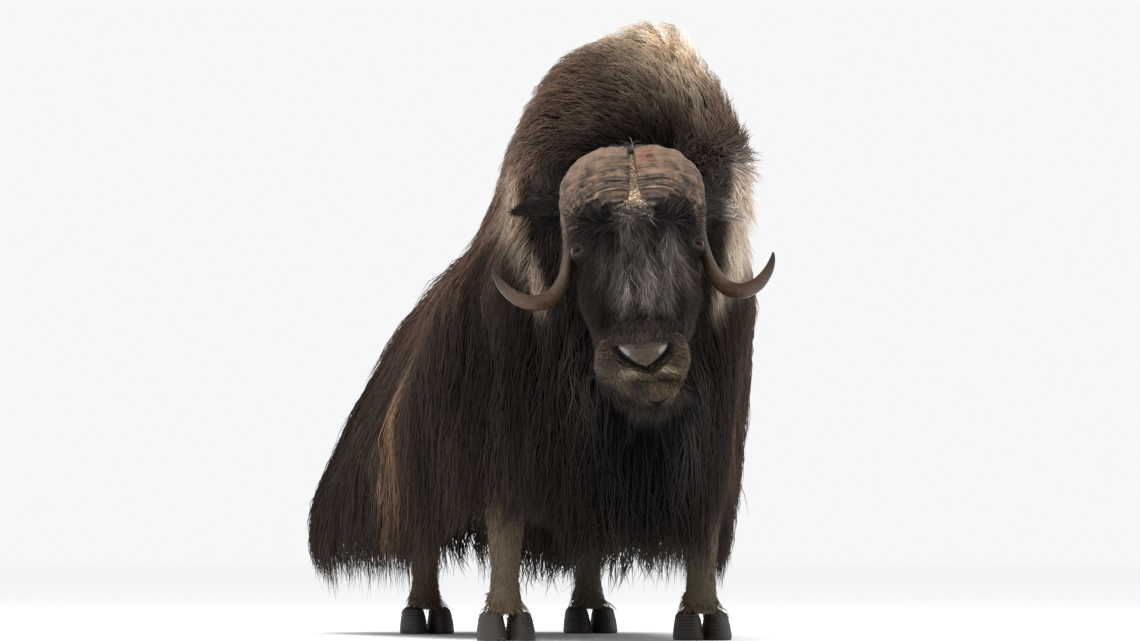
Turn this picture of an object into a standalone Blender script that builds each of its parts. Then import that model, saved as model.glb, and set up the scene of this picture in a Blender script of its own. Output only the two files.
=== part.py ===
# A muskox bull standing still, life size, in metres, +Z up, facing -Y.
# The body is one coat envelope parted by planes, with locks set along the lie of the hair.

import math
import random

import bmesh
import bpy
from mathutils import Euler, Matrix, Vector
from mathutils.bvhtree import BVHTree

GAP = 0.0003
SEED = 35

# Coat envelope: one row for each cross-section from the throat to the hind end.
# y, top, greatest half width, its height, half width at the hem, hem height,
# fullness of the top, lean of the top towards +X
COAT_SECTIONS = (
    (-0.430, 0.760, 0.100, 0.500, 0.060, 0.330, 0.50, 0.000),
    (-0.385, 0.960, 0.190, 0.600, 0.130, 0.170, 0.50, 0.000),
    (-0.310, 1.180, 0.262, 0.960, 0.180, 0.120, 0.44, 0.015),
    (-0.210, 1.360, 0.308, 1.000, 0.210, 0.115, 0.33, 0.058),
    (-0.100, 1.405, 0.316, 0.900, 0.245, 0.140, 0.33, 0.066),
    (0.000, 1.350, 0.352, 0.740, 0.312, 0.226, 0.44, 0.040),
    (0.130, 1.245, 0.388, 0.670, 0.345, 0.200, 0.56, 0.010),
    (0.350, 1.115, 0.402, 0.550, 0.375, 0.130, 0.57, 0.000),
    (0.600, 1.050, 0.425, 0.450, 0.400, 0.115, 0.54, 0.000),
    (0.900, 1.000, 0.455, 0.360, 0.445, 0.115, 0.54, 0.000),
    (1.120, 0.960, 0.465, 0.340, 0.455, 0.115, 0.54, 0.000),
    (1.280, 0.860, 0.415, 0.360, 0.400, 0.130, 0.56, 0.000),
    (1.380, 0.700, 0.280, 0.400, 0.240, 0.160, 0.60, 0.000),
    (1.420, 0.560, 0.120, 0.400, 0.100, 0.240, 0.60, 0.000),
)
LEAN_POWER = 3
DROP_POWER = 1.6
HEM_POWER = 1.5
# The core under the locks reaches less than half way from the body to their tips.
CORE_DEPTH = 0.050
CORE_SHARE = 0.20
CORE_HEM_RISE = 0.190
CORE_SHORTENING = 0.960
CORE_MIDDLE_Y = 0.500
COAT_STEPS_BETWEEN = 2
UPPER_POINTS = 9
LOWER_POINTS = 5

# Locks: share of the full width at each place along the lock.
LOCK_PROFILE = ((0.00, 0.72), (0.28, 1.00), (0.56, 0.92), (0.80, 0.55))
LOCK_THICKNESS = 0.22
LOCK_RISE_END = 0.60
LOCK_SINK = 0.030
LOCK_LIFT = -0.016
LOCK_STRAY = 0.14
LOCK_LENGTHS = (0.88, 1.10)
LOCK_WIDTHS = (0.88, 1.12)
ROOT_JITTER = 0.018
FLOOR_CLEARANCE = 0.120
# Where the coat's surface turns under at the hem, a lock hangs on, leaning down.
HEM_FACING = -0.5
HEM_DROP = 0.2
# Rows of locks on each flank: height of the roots in front and behind, length, width.
FLANK_ROWS = ((0.960, 0.770, 0.490, 0.150), (0.620, 0.530, 0.460, 0.150))
FLANK_FIRST_Y = -0.330
FLANK_LAST_Y = 1.360
FLANK_STEP = 0.118
# Rows behind, on the throat: height of the roots, length, width.
HIND_ROWS = ((0.780, 0.420, 0.150), (0.530, 0.400, 0.150))
HIND_XS = (-0.360, -0.245, -0.130, -0.015, 0.100, 0.215)
BACK_FIRST_Y = 0.180
BACK_LAST_Y = 1.240
BACK_STEP = 0.160
BACK_X = 0.120
BACK_LENGTH = 0.280
BACK_WIDTH = 0.170
HUMP_YS = (-0.250, -0.100, 0.050)
HUMP_ANGLES = (-70, -44, -18, 8, 34, 60, 82)
HUMP_SHIFT = 10
HUMP_CENTRE_Z = 0.980
HUMP_LENGTH = 0.270
HUMP_WIDTH = 0.180
RUFF_ANGLES = (-100, -64, -28, 8, 44, 80)
RUFF_SHIFT = 14
RUFF_RADII = (0.225, 0.150)
RUFF_TALLNESS = 1.2
RUFF_CENTRE = (-0.015, 0.960)
RUFF_LENGTH = 0.210
RUFF_WIDTH = 0.180
THROAT_XS = (-0.220, -0.110, 0.000, 0.110, 0.220)
THROAT_ROWS = ((0.560, 0.300, 0.150), (0.400, 0.270, 0.150))
# The lie of the hair on the hump, the flanks and, growing with how level it is, the back.
HUMP_FROM_Z = 1.020
HUMP_FULL_Z = 1.160
HUMP_BACK_Y = (0.150, 0.350)
HUMP_LIE = Vector((-1.000, 0.350, -0.150))
FLANK_LIE = Vector((0.000, 0.170, -1.000))
FLANK_SPREAD = 0.15
BACK_LIE = Vector((0.0, 2.400, -0.600))
BACK_PARTING = 1.8
BACK_LEVEL = 0.6
FLAT_DEGREES = 7
HEAD_FLAT_DEGREES = 3

# Planes that part the coat into nodes.
NECK_Y = -0.120
SHOULDER_Y = 0.320
SKIRT_SPLIT_Y = 0.780
LOIN_Y = 0.880
BREECH_Y = 1.170
SKIRT_X = 0.280
BELLY_Z = 0.420
REACH = 3.0

# Head: its frame sits midway between the eyes.
HEAD_AT = Vector((-0.026, -0.470, 0.866))
HEAD_TURN = math.radians(-9.5)
HEAD_ROLL = math.radians(-3.5)
HEAD_PITCH = math.radians(-14.0)
HEAD_BACK = 0.130
# height, half width, front, back, squareness of the ring
HEAD_SECTIONS = (
    (0.200, 0.060, 0.060, 0.160, 0.95),
    (0.175, 0.100, 0.022, 0.200, 0.90),
    (0.130, 0.122, -0.006, 0.220, 0.88),
    (0.060, 0.130, -0.026, 0.230, 0.85),
    (0.000, 0.131, -0.036, 0.225, 0.80),
    (-0.070, 0.118, -0.046, 0.205, 0.80),
    (-0.145, 0.106, -0.056, 0.175, 0.82),
    (-0.205, 0.099, -0.064, 0.150, 0.80),
    (-0.240, 0.103, -0.074, 0.135, 0.78),
    (-0.278, 0.107, -0.080, 0.120, 0.76),
    (-0.312, 0.103, -0.074, 0.100, 0.78),
    (-0.336, 0.086, -0.060, 0.070, 0.80),
    (-0.354, 0.050, -0.035, 0.035, 0.90),
)
HEAD_RING_POINTS = 24
HEAD_FLATNESS = 0.65

EYE_RADIUS = 0.0185
EYE_AT = Vector((0.128, 0.006, 0.000))
EYE_GAZE = Vector((0.62, -0.78, 0.00)).normalized()
LID_RADIUS = 0.0275
LID_OPENING = Vector((0.0135, 0.0085, 0.030))
LID_OPENING_AHEAD = 0.020

# Horn centre line in the head's frame, from the groove of the boss to the tip.
# point x, y, z, half height, half thickness
HORN_LINE = (
    (0.0065, 0.020, 0.142, 0.0790, 0.0420),
    (0.036, 0.004, 0.148, 0.0850, 0.0560),
    (0.072, 0.012, 0.142, 0.0820, 0.0560),
    (0.102, 0.034, 0.120, 0.0680, 0.0490),
    (0.124, 0.056, 0.082, 0.0400, 0.0400),
    (0.141, 0.068, 0.038, 0.0190, 0.0320),
    (0.154, 0.062, -0.012, 0.0135, 0.0265),
    (0.168, 0.042, -0.060, 0.0150, 0.0220),
    (0.194, 0.008, -0.102, 0.0172, 0.0185),
    (0.228, -0.026, -0.121, 0.0172, 0.0165),
    (0.262, -0.052, -0.117, 0.0150, 0.0145),
    (0.288, -0.070, -0.097, 0.0115, 0.0110),
    (0.302, -0.080, -0.074, 0.0072, 0.0070),
    (0.307, -0.084, -0.055, 0.0022, 0.0022),
)
HORN_RING_POINTS = 16
HORN_SQUARENESS = 0.9
HORN_HOOK_X = 0.160
HORN_SPREAD = {-1: 1.10, 1: 0.87}

# Ears: root, bend and tip; the animal's left ear is folded back into the mane.
EAR_ROOT = Vector((0.104, 0.108, 0.122))
EAR_BEND = {-1: Vector((0.190, 0.112, 0.146)), 1: Vector((0.170, 0.108, 0.130))}
EAR_TIP = {-1: Vector((0.280, 0.104, 0.128)), 1: Vector((0.236, 0.112, 0.092))}
EAR_ROWS = ((0.0, 0.018), (0.25, 0.028), (0.5, 0.033), (0.75, 0.027), (0.92, 0.013), (1.0, 0.003))
EAR_RING_POINTS = 14
EAR_CUP = 0.45
EAR_WALL = 0.006

# Muzzle lines in the head's frame: x, y, z, radius.
NOSTRIL = (
    (0.000, -0.088, -0.292, 0.0034),
    (0.038, -0.084, -0.284, 0.0042),
    (0.064, -0.074, -0.271, 0.0070),
    (0.077, -0.065, -0.254, 0.0095),
    (0.073, -0.068, -0.238, 0.0085),
    (0.056, -0.076, -0.228, 0.0040),
)
NOSTRIL_WING = (
    (0.064, -0.060, -0.217, 0.0060),
    (0.084, -0.050, -0.229, 0.0110),
    (0.092, -0.044, -0.252, 0.0130),
    (0.085, -0.050, -0.278, 0.0100),
    (0.062, -0.060, -0.294, 0.0050),
)
MOUTH_LINE = (
    (0.000, -0.085, -0.318, 0.0042),
    (0.036, -0.080, -0.316, 0.0042),
    (0.070, -0.060, -0.311, 0.0040),
    (0.094, -0.030, -0.303, 0.0034),
    (0.104, 0.010, -0.292, 0.0020),
)
LOWER_LIP = (
    (0.000, -0.068, -0.331, 0.0130),
    (0.036, -0.062, -0.330, 0.0130),
    (0.066, -0.043, -0.325, 0.0110),
    (0.082, -0.014, -0.317, 0.0070),
)

# Legs stand on two claws each. Rows: height, shift back, half width, half depth.
FORELEG_X = 0.228
FORELEG_Y = -0.030
HINDLEG_X = 0.205
HINDLEG_Y = 1.010
LEG_SPLIT_Z = 0.200
HOOF_TOP_Z = 0.062
LEG_POINTS = 12
FORELEG_UPPER = (
    (LEG_SPLIT_Z, 0.000, 0.036, 0.044),
    (0.250, 0.000, 0.040, 0.050),
    (0.300, 0.000, 0.045, 0.055),
    (0.360, 0.004, 0.047, 0.070),
    (BELLY_Z - GAP, 0.010, 0.048, 0.085),
)
FORELEG_LOWER = (
    (HOOF_TOP_Z + GAP, -0.004, 0.042, 0.046),
    (0.090, 0.004, 0.040, 0.046),
    (0.120, 0.006, 0.036, 0.044),
    (0.160, 0.002, 0.034, 0.042),
    (LEG_SPLIT_Z - GAP, 0.000, 0.036, 0.044),
)
HINDLEG_UPPER = (
    (LEG_SPLIT_Z, 0.030, 0.034, 0.042),
    (0.270, 0.044, 0.036, 0.046),
    (0.340, 0.058, 0.042, 0.060),
    (BELLY_Z - GAP, 0.030, 0.056, 0.095),
)
HINDLEG_LOWER = (
    (HOOF_TOP_Z + GAP, -0.004, 0.040, 0.046),
    (0.090, 0.008, 0.038, 0.046),
    (0.120, 0.016, 0.035, 0.043),
    (0.160, 0.024, 0.033, 0.041),
    (LEG_SPLIT_Z - GAP, 0.030, 0.034, 0.042),
)
# height, toe, heel, half width of one claw
CLAW_ROWS = (
    (0.000, -0.072, 0.050, 0.0300),
    (0.008, -0.076, 0.052, 0.0315),
    (0.030, -0.068, 0.050, 0.0300),
    (0.052, -0.052, 0.046, 0.0260),
    (HOOF_TOP_Z, -0.044, 0.042, 0.0220),
)
CLAW_OFFSET = 0.0335
CLAW_POINTS = 12
CLAW_SQUARENESS = 0.85
DEWCLAW_X = 0.022
DEWCLAW_Y = 0.046
DEWCLAW_Z = 0.092
DEWCLAW_SIZE = (0.012, 0.018, 0.020)

# Tail rows from the root down: y, z, half width, half depth.
TAIL_POINTS = 12
TAIL_SLANT = Vector((0.0, 1.0, 0.3))
TAIL_ROWS = (
    (1.315, 0.790, 0.024, 0.016),
    (1.350, 0.760, 0.036, 0.022),
    (1.385, 0.715, 0.042, 0.022),
    (1.405, 0.665, 0.038, 0.018),
    (1.415, 0.615, 0.022, 0.010),
    (1.418, 0.585, 0.004, 0.003),
)

COAT_BROWN = (0.055, 0.036, 0.026)
NECK_BROWN = (0.100, 0.066, 0.045)
FACE_GREY = (0.045, 0.038, 0.034)
STOCKING_CREAM = (0.420, 0.340, 0.240)
HORN_TAN = (0.300, 0.215, 0.150)
HOOF_DARK = (0.060, 0.050, 0.042)
EYE_DARK = (0.020, 0.012, 0.008)
HAIR_ROUGHNESS = 0.85
HORN_ROUGHNESS = 0.50
HOOF_ROUGHNESS = 0.60
EYE_ROUGHNESS = 0.08


def clear_scene():
    for old in list(bpy.data.objects):
        bpy.data.objects.remove(old, do_unlink=True)


def new_collection(name):
    collection = bpy.data.collections.new(name)
    bpy.context.scene.collection.children.link(collection)
    return collection


def paint(obj, colour, roughness):
    material = bpy.data.materials.new(obj.name + "_finish")
    material.use_nodes = True
    shader = material.node_tree.nodes["Principled BSDF"]
    shader.inputs["Base Color"].default_value = (*colour, 1.0)
    shader.inputs["Roughness"].default_value = roughness
    shader.inputs["Metallic"].default_value = 0.0
    obj.data.materials.clear()
    obj.data.materials.append(material)


def object_from_bmesh(name, shape, collection):
    bmesh.ops.recalc_face_normals(shape, faces=shape.faces)
    mesh = bpy.data.meshes.new(name)
    shape.to_mesh(mesh)
    shape.free()
    obj = bpy.data.objects.new(name, mesh)
    collection.objects.link(obj)
    return obj


# Closed loft through rings of equal count, with a fan on each end that is a ring.
def loft(name, rings, collection):
    shape = bmesh.new()
    rows = [[shape.verts.new(point) for point in ring] for ring in rings]
    for low, high in zip(rows, rows[1:]):
        count = max(len(low), len(high))
        for k in range(count):
            n = (k + 1) % count
            if len(high) == 1:
                shape.faces.new((low[k], low[n], high[0]))
            elif len(low) == 1:
                shape.faces.new((low[0], high[n], high[k]))
            else:
                shape.faces.new((low[k], low[n], high[n], high[k]))
    for row in (rows[0], rows[-1]):
        if len(row) > 2:
            shape.faces.new(row)
    bmesh.ops.triangulate(shape, faces=shape.faces)
    return object_from_bmesh(name, shape, collection)


def box(name, low, high, collection):
    shape = bmesh.new()
    bmesh.ops.create_cube(shape, size=1.0)
    centre = (Vector(low) + Vector(high)) / 2
    size = Vector(high) - Vector(low)
    for vert in shape.verts:
        vert.co = centre + Vector([vert.co[k] * size[k] for k in range(3)])
    return object_from_bmesh(name, shape, collection)


# Smooth row at one place of a table of rows, by its first column.
def table_row(rows, place):
    last = len(rows) - 1
    index = next((k for k in range(last) if place <= rows[k + 1][0]), last - 1)
    before = rows[max(index - 1, 0)]
    start = rows[index]
    end = rows[index + 1]
    after = rows[min(index + 2, last)]
    t = (place - start[0]) / (end[0] - start[0])
    row = [place]
    for column in range(1, len(start)):
        slope_start = (end[column] - before[column]) / (end[0] - before[0])
        slope_end = (after[column] - start[column]) / (after[0] - start[0])
        span = end[0] - start[0]
        value = (2 * t ** 3 - 3 * t ** 2 + 1) * start[column]
        value += (t ** 3 - 2 * t ** 2 + t) * slope_start * span
        value += (3 * t ** 2 - 2 * t ** 3) * end[column]
        value += (t ** 3 - t ** 2) * slope_end * span
        row.append(value)
    return row


# Ring of the coat at one row: over the back, down the flank, in along the hem.
def coat_ring(row):
    y, top, half_width, widest_z, hem_width, hem_z, fullness, lean = row
    side = []
    for k in range(UPPER_POINTS):
        drop = (k / (UPPER_POINTS - 1)) ** DROP_POWER
        side.append((half_width * drop ** fullness, top - (top - widest_z) * drop))
    for k in range(1, LOWER_POINTS + 1):
        t = k / LOWER_POINTS
        x = half_width + (hem_width - half_width) * t ** HEM_POWER
        side.append((x, widest_z + (hem_z - widest_z) * t))
    ring = [Vector((x, y, z)) for x, z in side]
    ring.append(Vector((0.0, y, hem_z)))
    ring += [Vector((-x, y, z)) for x, z in reversed(side[1:])]
    for point in ring:
        point.x += lean * ((point.z - hem_z) / (top - hem_z)) ** LEAN_POWER
    return ring


# Row of the core under the locks, drawn in from the row of the tips.
def core_row(row):
    y, top, half_width, widest_z, hem_width, hem_z, fullness, lean = row
    depth = min(CORE_DEPTH, CORE_SHARE * half_width)
    share = (half_width - depth) / half_width
    y = CORE_MIDDLE_Y + (y - CORE_MIDDLE_Y) * CORE_SHORTENING
    top -= depth
    hem_z += CORE_HEM_RISE
    widest_z = max(widest_z, hem_z + depth)
    return (y, top, half_width - depth, widest_z, hem_width * share, hem_z, fullness, lean)


def coat_body(name, collection, is_core):
    places = []
    for start, end in zip(COAT_SECTIONS, COAT_SECTIONS[1:]):
        for k in range(COAT_STEPS_BETWEEN):
            places.append(start[0] + (end[0] - start[0]) * k / COAT_STEPS_BETWEEN)
    places.append(COAT_SECTIONS[-1][0])
    rows = [table_row(COAT_SECTIONS, place) for place in places]
    if is_core:
        rows = [core_row(row) for row in rows]
    return loft(name, [coat_ring(row) for row in rows], collection)


def smooth_step(low, high, value):
    t = min(max((value - low) / (high - low), 0.0), 1.0)
    return t * t * (3 - 2 * t)


# Direction in which the hair lies: down the flanks, swept over the hump by the wind.
def lie_of_hair(point, normal):
    outward = Vector((normal.x, normal.y, 0.0)) * FLANK_SPREAD
    parting = Vector((BACK_PARTING * point.x, 0.0, 0.0))
    back = (BACK_LIE + parting) * max(normal.z - BACK_LEVEL, 0.0)
    flank = FLANK_LIE + outward + back
    hump = smooth_step(HUMP_FROM_Z, HUMP_FULL_Z, point.z) * (1 - smooth_step(*HUMP_BACK_Y, point.y))
    lie = flank.lerp(HUMP_LIE, hump)
    lie -= normal * lie.dot(normal)
    return lie.normalized()


# Centre line of a lock: sunk at its root, out at the coat's surface at its tip.
def lock_path(surface, root, normal, length, stray):
    steps = [place for place, share in LOCK_PROFILE] + [1.0]
    path = []
    point = root.copy()
    travelled = 0.0
    for place in steps:
        step = place * length - travelled
        if step > 0:
            lie = lie_of_hair(point, normal)
            lie = (lie + normal.cross(lie) * stray).normalized()
            ahead = point + lie * step
            found = surface.find_nearest(ahead)
            hanging = found[1].z < HEM_FACING
            point = ahead + Vector((0, 0, -HEM_DROP * step)) if hanging else found[0]
            normal = normal if hanging else found[1]
            travelled += step
        rise = smooth_step(0.0, LOCK_RISE_END, place)
        depth = (CORE_DEPTH + LOCK_SINK) * (1 - rise) - LOCK_LIFT * rise
        path.append((point - normal * depth, normal.copy()))
    return path


def lock_object(name, path, width, collection):
    rings = []
    for k, (place, share) in enumerate(LOCK_PROFILE):
        point, normal = path[k]
        along = (path[k + 1][0] - path[max(k - 1, 0)][0]).normalized()
        side = along.cross(normal).normalized() * (width * share / 2)
        thick = side.cross(along).normalized() * (width * share * LOCK_THICKNESS / 2)
        rings.append([point + side, point + thick * 2, point - side])
    rings.append([path[-1][0]])
    return loft(name, rings, collection)


# Rays from outside towards the roots of the locks, each with the lock's length and width.
def root_places():
    places = []
    for row, (front, back, length, width) in enumerate(FLANK_ROWS):
        y = FLANK_FIRST_Y + (row % 2) * FLANK_STEP / 2
        while y < FLANK_LAST_Y:
            height = front + (back - front) * (y - FLANK_FIRST_Y) / (FLANK_LAST_Y - FLANK_FIRST_Y)
            for side in (1, -1):
                places.append((Vector((side * REACH, y, height)), Vector((-side, 0, 0)), length, width))
            y += FLANK_STEP
    for row, (height, length, width) in enumerate(HIND_ROWS):
        shift = (row % 2) * (HIND_XS[1] - HIND_XS[0]) / 2
        for x in HIND_XS:
            places.append((Vector((x + shift, REACH, height)), Vector((0, -1, 0)), length, width))
    y = BACK_FIRST_Y
    while y < BACK_LAST_Y:
        for side in (1, -1):
            start = Vector((side * BACK_X, y + side * BACK_STEP / 4, REACH))
            places.append((start, Vector((0, 0, -1)), BACK_LENGTH, BACK_WIDTH))
        y += BACK_STEP
    for row, y in enumerate(HUMP_YS):
        for degrees in HUMP_ANGLES:
            angle = math.radians(degrees + (row % 2) * HUMP_SHIFT)
            outward = Vector((math.sin(angle), 0, math.cos(angle)))
            start = Vector((0, y, HUMP_CENTRE_Z)) + outward * REACH
            places.append((start, -outward, HUMP_LENGTH, HUMP_WIDTH))
    for row, radius in enumerate(RUFF_RADII):
        for degrees in RUFF_ANGLES:
            angle = math.radians(degrees + row * RUFF_SHIFT)
            x = RUFF_CENTRE[0] + radius * math.sin(angle)
            z = RUFF_CENTRE[1] + radius * RUFF_TALLNESS * math.cos(angle)
            places.append((Vector((x, -REACH, z)), Vector((0, 1, 0)), RUFF_LENGTH, RUFF_WIDTH))
    for height, length, width in THROAT_ROWS:
        for x in THROAT_XS:
            places.append((Vector((x, -REACH, height)), Vector((0, 1, 0)), length, width))
    return places


# Every lock as its path and width, worked out once for the whole coat.
def plan_locks(outer):
    chance = random.Random(SEED)
    graph = bpy.context.evaluated_depsgraph_get()
    graph.update()
    surface = BVHTree.FromObject(outer, graph)
    locks = []
    for start, direction, length, width in root_places():
        jitter = Vector([chance.uniform(-ROOT_JITTER, ROOT_JITTER) for k in range(3)])
        hit, normal, index, distance = surface.ray_cast(start + jitter, direction)
        if hit is None:
            continue
        stray = chance.uniform(-LOCK_STRAY, LOCK_STRAY)
        reach = min(length * chance.uniform(*LOCK_LENGTHS), hit.z - FLOOR_CLEARANCE)
        lock_width = width * chance.uniform(*LOCK_WIDTHS)
        locks.append((lock_path(surface, hit, normal, reach, stray), lock_width))
    return locks


def reaches_region(path, low, high, margin):
    for point, facing in path:
        if all(low[axis] - margin < point[axis] < high[axis] + margin for axis in range(3)):
            return True
    return False


def add_locks(node, low, high, locks):
    pieces = new_collection(node.name + "_locks")
    for k, (path, width) in enumerate(locks):
        if reaches_region(path, low, high, width / 2):
            lock_object(node.name + "_lock_%03d" % k, path, width, pieces)
    union_collection(node, pieces)
    bpy.data.collections.remove(pieces)


def evaluated_mesh(obj):
    graph = bpy.context.evaluated_depsgraph_get()
    graph.update()
    return bpy.data.meshes.new_from_object(obj.evaluated_get(graph))


def apply_modifiers(obj):
    mesh = evaluated_mesh(obj)
    obj.modifiers.clear()
    old = obj.data
    obj.data = mesh
    bpy.data.meshes.remove(old)


def boolean(obj, other, operation, solver="MANIFOLD"):
    modifier = obj.modifiers.new(operation.lower(), "BOOLEAN")
    modifier.operation = operation
    modifier.solver = solver
    modifier.object = other
    apply_modifiers(obj)


def union_collection(obj, pieces):
    if not pieces.objects:
        return
    modifier = obj.modifiers.new("union", "BOOLEAN")
    modifier.operation = "UNION"
    modifier.solver = "MANIFOLD"
    modifier.operand_type = "COLLECTION"
    modifier.collection = pieces
    apply_modifiers(obj)
    for piece in list(pieces.objects):
        bpy.data.objects.remove(piece, do_unlink=True)


# A node is one closed surface, so the largest one is kept.
def keep_largest(obj):
    shape = bmesh.new()
    shape.from_mesh(obj.data)
    unseen = set(shape.faces)
    largest = set()
    while unseen:
        stack = [unseen.pop()]
        group = set(stack)
        while stack:
            for edge in stack.pop().edges:
                for face in edge.link_faces:
                    if face in unseen:
                        unseen.discard(face)
                        group.add(face)
                        stack.append(face)
        if len(group) > len(largest):
            largest = group
    extra = [face for face in shape.faces if face not in largest]
    bmesh.ops.delete(shape, geom=extra, context="FACES")
    bmesh.ops.triangulate(shape, faces=shape.faces)
    shape.to_mesh(obj.data)
    shape.free()


# Nearly flat neighbours become one face, unless that opens the surface.
def merge_flat_faces(obj, most_degrees):
    for degrees in range(most_degrees, 0, -1):
        shape = bmesh.new()
        shape.from_mesh(obj.data)
        angle = math.radians(degrees)
        bmesh.ops.dissolve_limit(shape, angle_limit=angle, verts=shape.verts, edges=shape.edges)
        bmesh.ops.triangulate(shape, faces=shape.faces)
        closed = all(len(edge.link_faces) == 2 for edge in shape.edges)
        if closed:
            shape.to_mesh(obj.data)
        shape.free()
        if closed:
            return


def copy_of(source, name, collection):
    obj = bpy.data.objects.new(name, source.data.copy())
    obj.matrix_world = source.matrix_world.copy()
    collection.objects.link(obj)
    return obj


def head_matrix():
    turn = Euler((0.0, 0.0, HEAD_TURN)).to_matrix()
    roll = Euler((0.0, HEAD_ROLL, 0.0)).to_matrix()
    pitch = Euler((HEAD_PITCH, 0.0, 0.0)).to_matrix()
    return Matrix.Translation(HEAD_AT) @ (turn @ roll @ pitch).to_4x4()


def move_mesh(obj, matrix):
    obj.data.transform(matrix)
    if matrix.determinant() < 0:
        obj.data.flip_normals()


# Everything behind the flat back of the head belongs to the neck.
def head_back_box(name, low_y, high_y, cutters):
    cutter = box(name, (-REACH, low_y, -REACH), (REACH, high_y, REACH), cutters)
    move_mesh(cutter, head_matrix())
    return cutter


def make_coat_nodes(parts, cutters):
    outer = coat_body("coat_tips", cutters, False)
    body = coat_body("coat_core", cutters, True)
    locks = plan_locks(outer)
    regions = {
        "neck": ((-REACH, -REACH, -REACH), (REACH, NECK_Y, REACH)),
        "shoulders": ((-SKIRT_X, NECK_Y + GAP, BELLY_Z), (SKIRT_X, SHOULDER_Y, REACH)),
        "torso": ((-SKIRT_X, SHOULDER_Y + GAP, BELLY_Z), (SKIRT_X, LOIN_Y, REACH)),
        "rump": ((-SKIRT_X, LOIN_Y + GAP, BELLY_Z), (SKIRT_X, BREECH_Y, REACH)),
        "breech": ((-REACH, BREECH_Y + GAP, -REACH), (REACH, REACH, REACH)),
    }
    skirt_cuts = {
        "fore": (NECK_Y + GAP, SHOULDER_Y),
        "mid": (SHOULDER_Y + GAP, SKIRT_SPLIT_Y),
        "hind": (SKIRT_SPLIT_Y + GAP, BREECH_Y),
    }
    for length, (front, back) in skirt_cuts.items():
        inner = SKIRT_X + GAP
        regions["skirt_" + length + "_left"] = ((inner, front, -REACH), (REACH, back, REACH))
        regions["skirt_" + length + "_right"] = ((-REACH, front, -REACH), (-inner, back, REACH))
    for name, (low, high) in regions.items():
        node = copy_of(body, name, parts)
        add_locks(node, low, high, locks)
        region = box(name + "_region", low, high, cutters)
        boolean(node, region, "INTERSECT")
        if name == "neck":
            front = head_back_box("head_room", -REACH, HEAD_BACK + GAP, cutters)
            boolean(node, front, "DIFFERENCE")
        keep_largest(node)
        merge_flat_faces(node, FLAT_DEGREES)
        paint(node, NECK_BROWN if name in ("neck", "shoulders") else COAT_BROWN, HAIR_ROUGHNESS)


def oval_ring(centre, side, up, half_side, half_up, count, squareness=1.0):
    ring = []
    for k in range(count):
        angle = 2 * math.pi * k / count
        c = math.copysign(abs(math.cos(angle)) ** squareness, math.cos(angle))
        s = math.copysign(abs(math.sin(angle)) ** squareness, math.sin(angle))
        ring.append(centre + side * (half_side * c) + up * (half_up * s))
    return ring


def head_ring(row):
    z, half_width, front, back, squareness = row
    middle = front + HEAD_FLATNESS * half_width
    ring = []
    for k in range(HEAD_RING_POINTS):
        angle = 2 * math.pi * k / HEAD_RING_POINTS
        c = math.copysign(abs(math.cos(angle)) ** squareness, math.cos(angle))
        s = math.copysign(abs(math.sin(angle)) ** squareness, math.sin(angle))
        depth = back - middle if s > 0 else middle - front
        ring.append(Vector((half_width * c, middle + depth * s, z)))
    return ring


def make_ball(name, centre, radii, collection, segments=12, rings=8, turn=None):
    shape = bmesh.new()
    bmesh.ops.create_uvsphere(shape, u_segments=segments, v_segments=rings, radius=1.0)
    rotation = turn.to_4x4() if turn else Matrix.Identity(4)
    scale = Matrix.Diagonal((*radii, 1.0))
    bmesh.ops.transform(shape, matrix=Matrix.Translation(centre) @ rotation @ scale, verts=shape.verts)
    bmesh.ops.triangulate(shape, faces=shape.faces)
    return object_from_bmesh(name, shape, collection)


def mirrored(point, side):
    return Vector((point[0] * side, point[1], point[2]))


def make_eye(side, name, head, parts, cutters):
    centre = mirrored(EYE_AT, side)
    gaze = mirrored(EYE_GAZE, side)
    lid = make_ball(name + "_lid", centre, (LID_RADIUS,) * 3, cutters)
    boolean(head, lid, "UNION")
    room = EYE_RADIUS + GAP
    socket = make_ball(name + "_socket", centre, (room,) * 3, cutters)
    boolean(head, socket, "DIFFERENCE")
    turn = gaze.to_track_quat("Z", "Y").to_matrix()
    ahead = centre + gaze * LID_OPENING_AHEAD
    opening = make_ball(name + "_opening", ahead, LID_OPENING, cutters, 10, 6, turn)
    boolean(head, opening, "DIFFERENCE")
    eye = make_ball(name, centre, (EYE_RADIUS,) * 3, parts)
    move_mesh(eye, head_matrix())
    eye.data.shade_smooth()
    paint(eye, EYE_DARK, EYE_ROUGHNESS)


def horn_rings(side):
    centres = []
    for row in HORN_LINE:
        past_hook = max(row[0] - HORN_HOOK_X, 0.0)
        centres.append(mirrored((row[0] + past_hook * (HORN_SPREAD[side] - 1), row[1], row[2]), side))
    rings = []
    for k, row in enumerate(HORN_LINE):
        before = centres[max(k - 1, 0)]
        after = centres[min(k + 1, len(centres) - 1)]
        along = (after - before).normalized()
        if k == 0:
            along = Vector((side, 0.0, 0.0))
        outward = along.cross(Vector((0.0, 1.0, 0.0))).normalized()
        thick = along.cross(outward).normalized()
        ring = oval_ring(centres[k], outward, thick, row[3], row[4], HORN_RING_POINTS, HORN_SQUARENESS)
        rings.append(ring)
    return rings


def tube_rings(points, radii, count=6):
    rings = []
    for k, point in enumerate(points):
        along = (points[min(k + 1, len(points) - 1)] - points[max(k - 1, 0)]).normalized()
        side = along.cross(Vector((0.0, 0.0, 1.0)))
        side = side.normalized() if side.length > 0.1 else Vector((1.0, 0.0, 0.0))
        rings.append(oval_ring(point, side, side.cross(along).normalized(), radii[k], radii[k], count))
    return rings


def tube(name, rows, side, collection):
    points = [mirrored(row[:3], side) for row in rows]
    return loft(name, tube_rings(points, [row[3] for row in rows]), collection)


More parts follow.
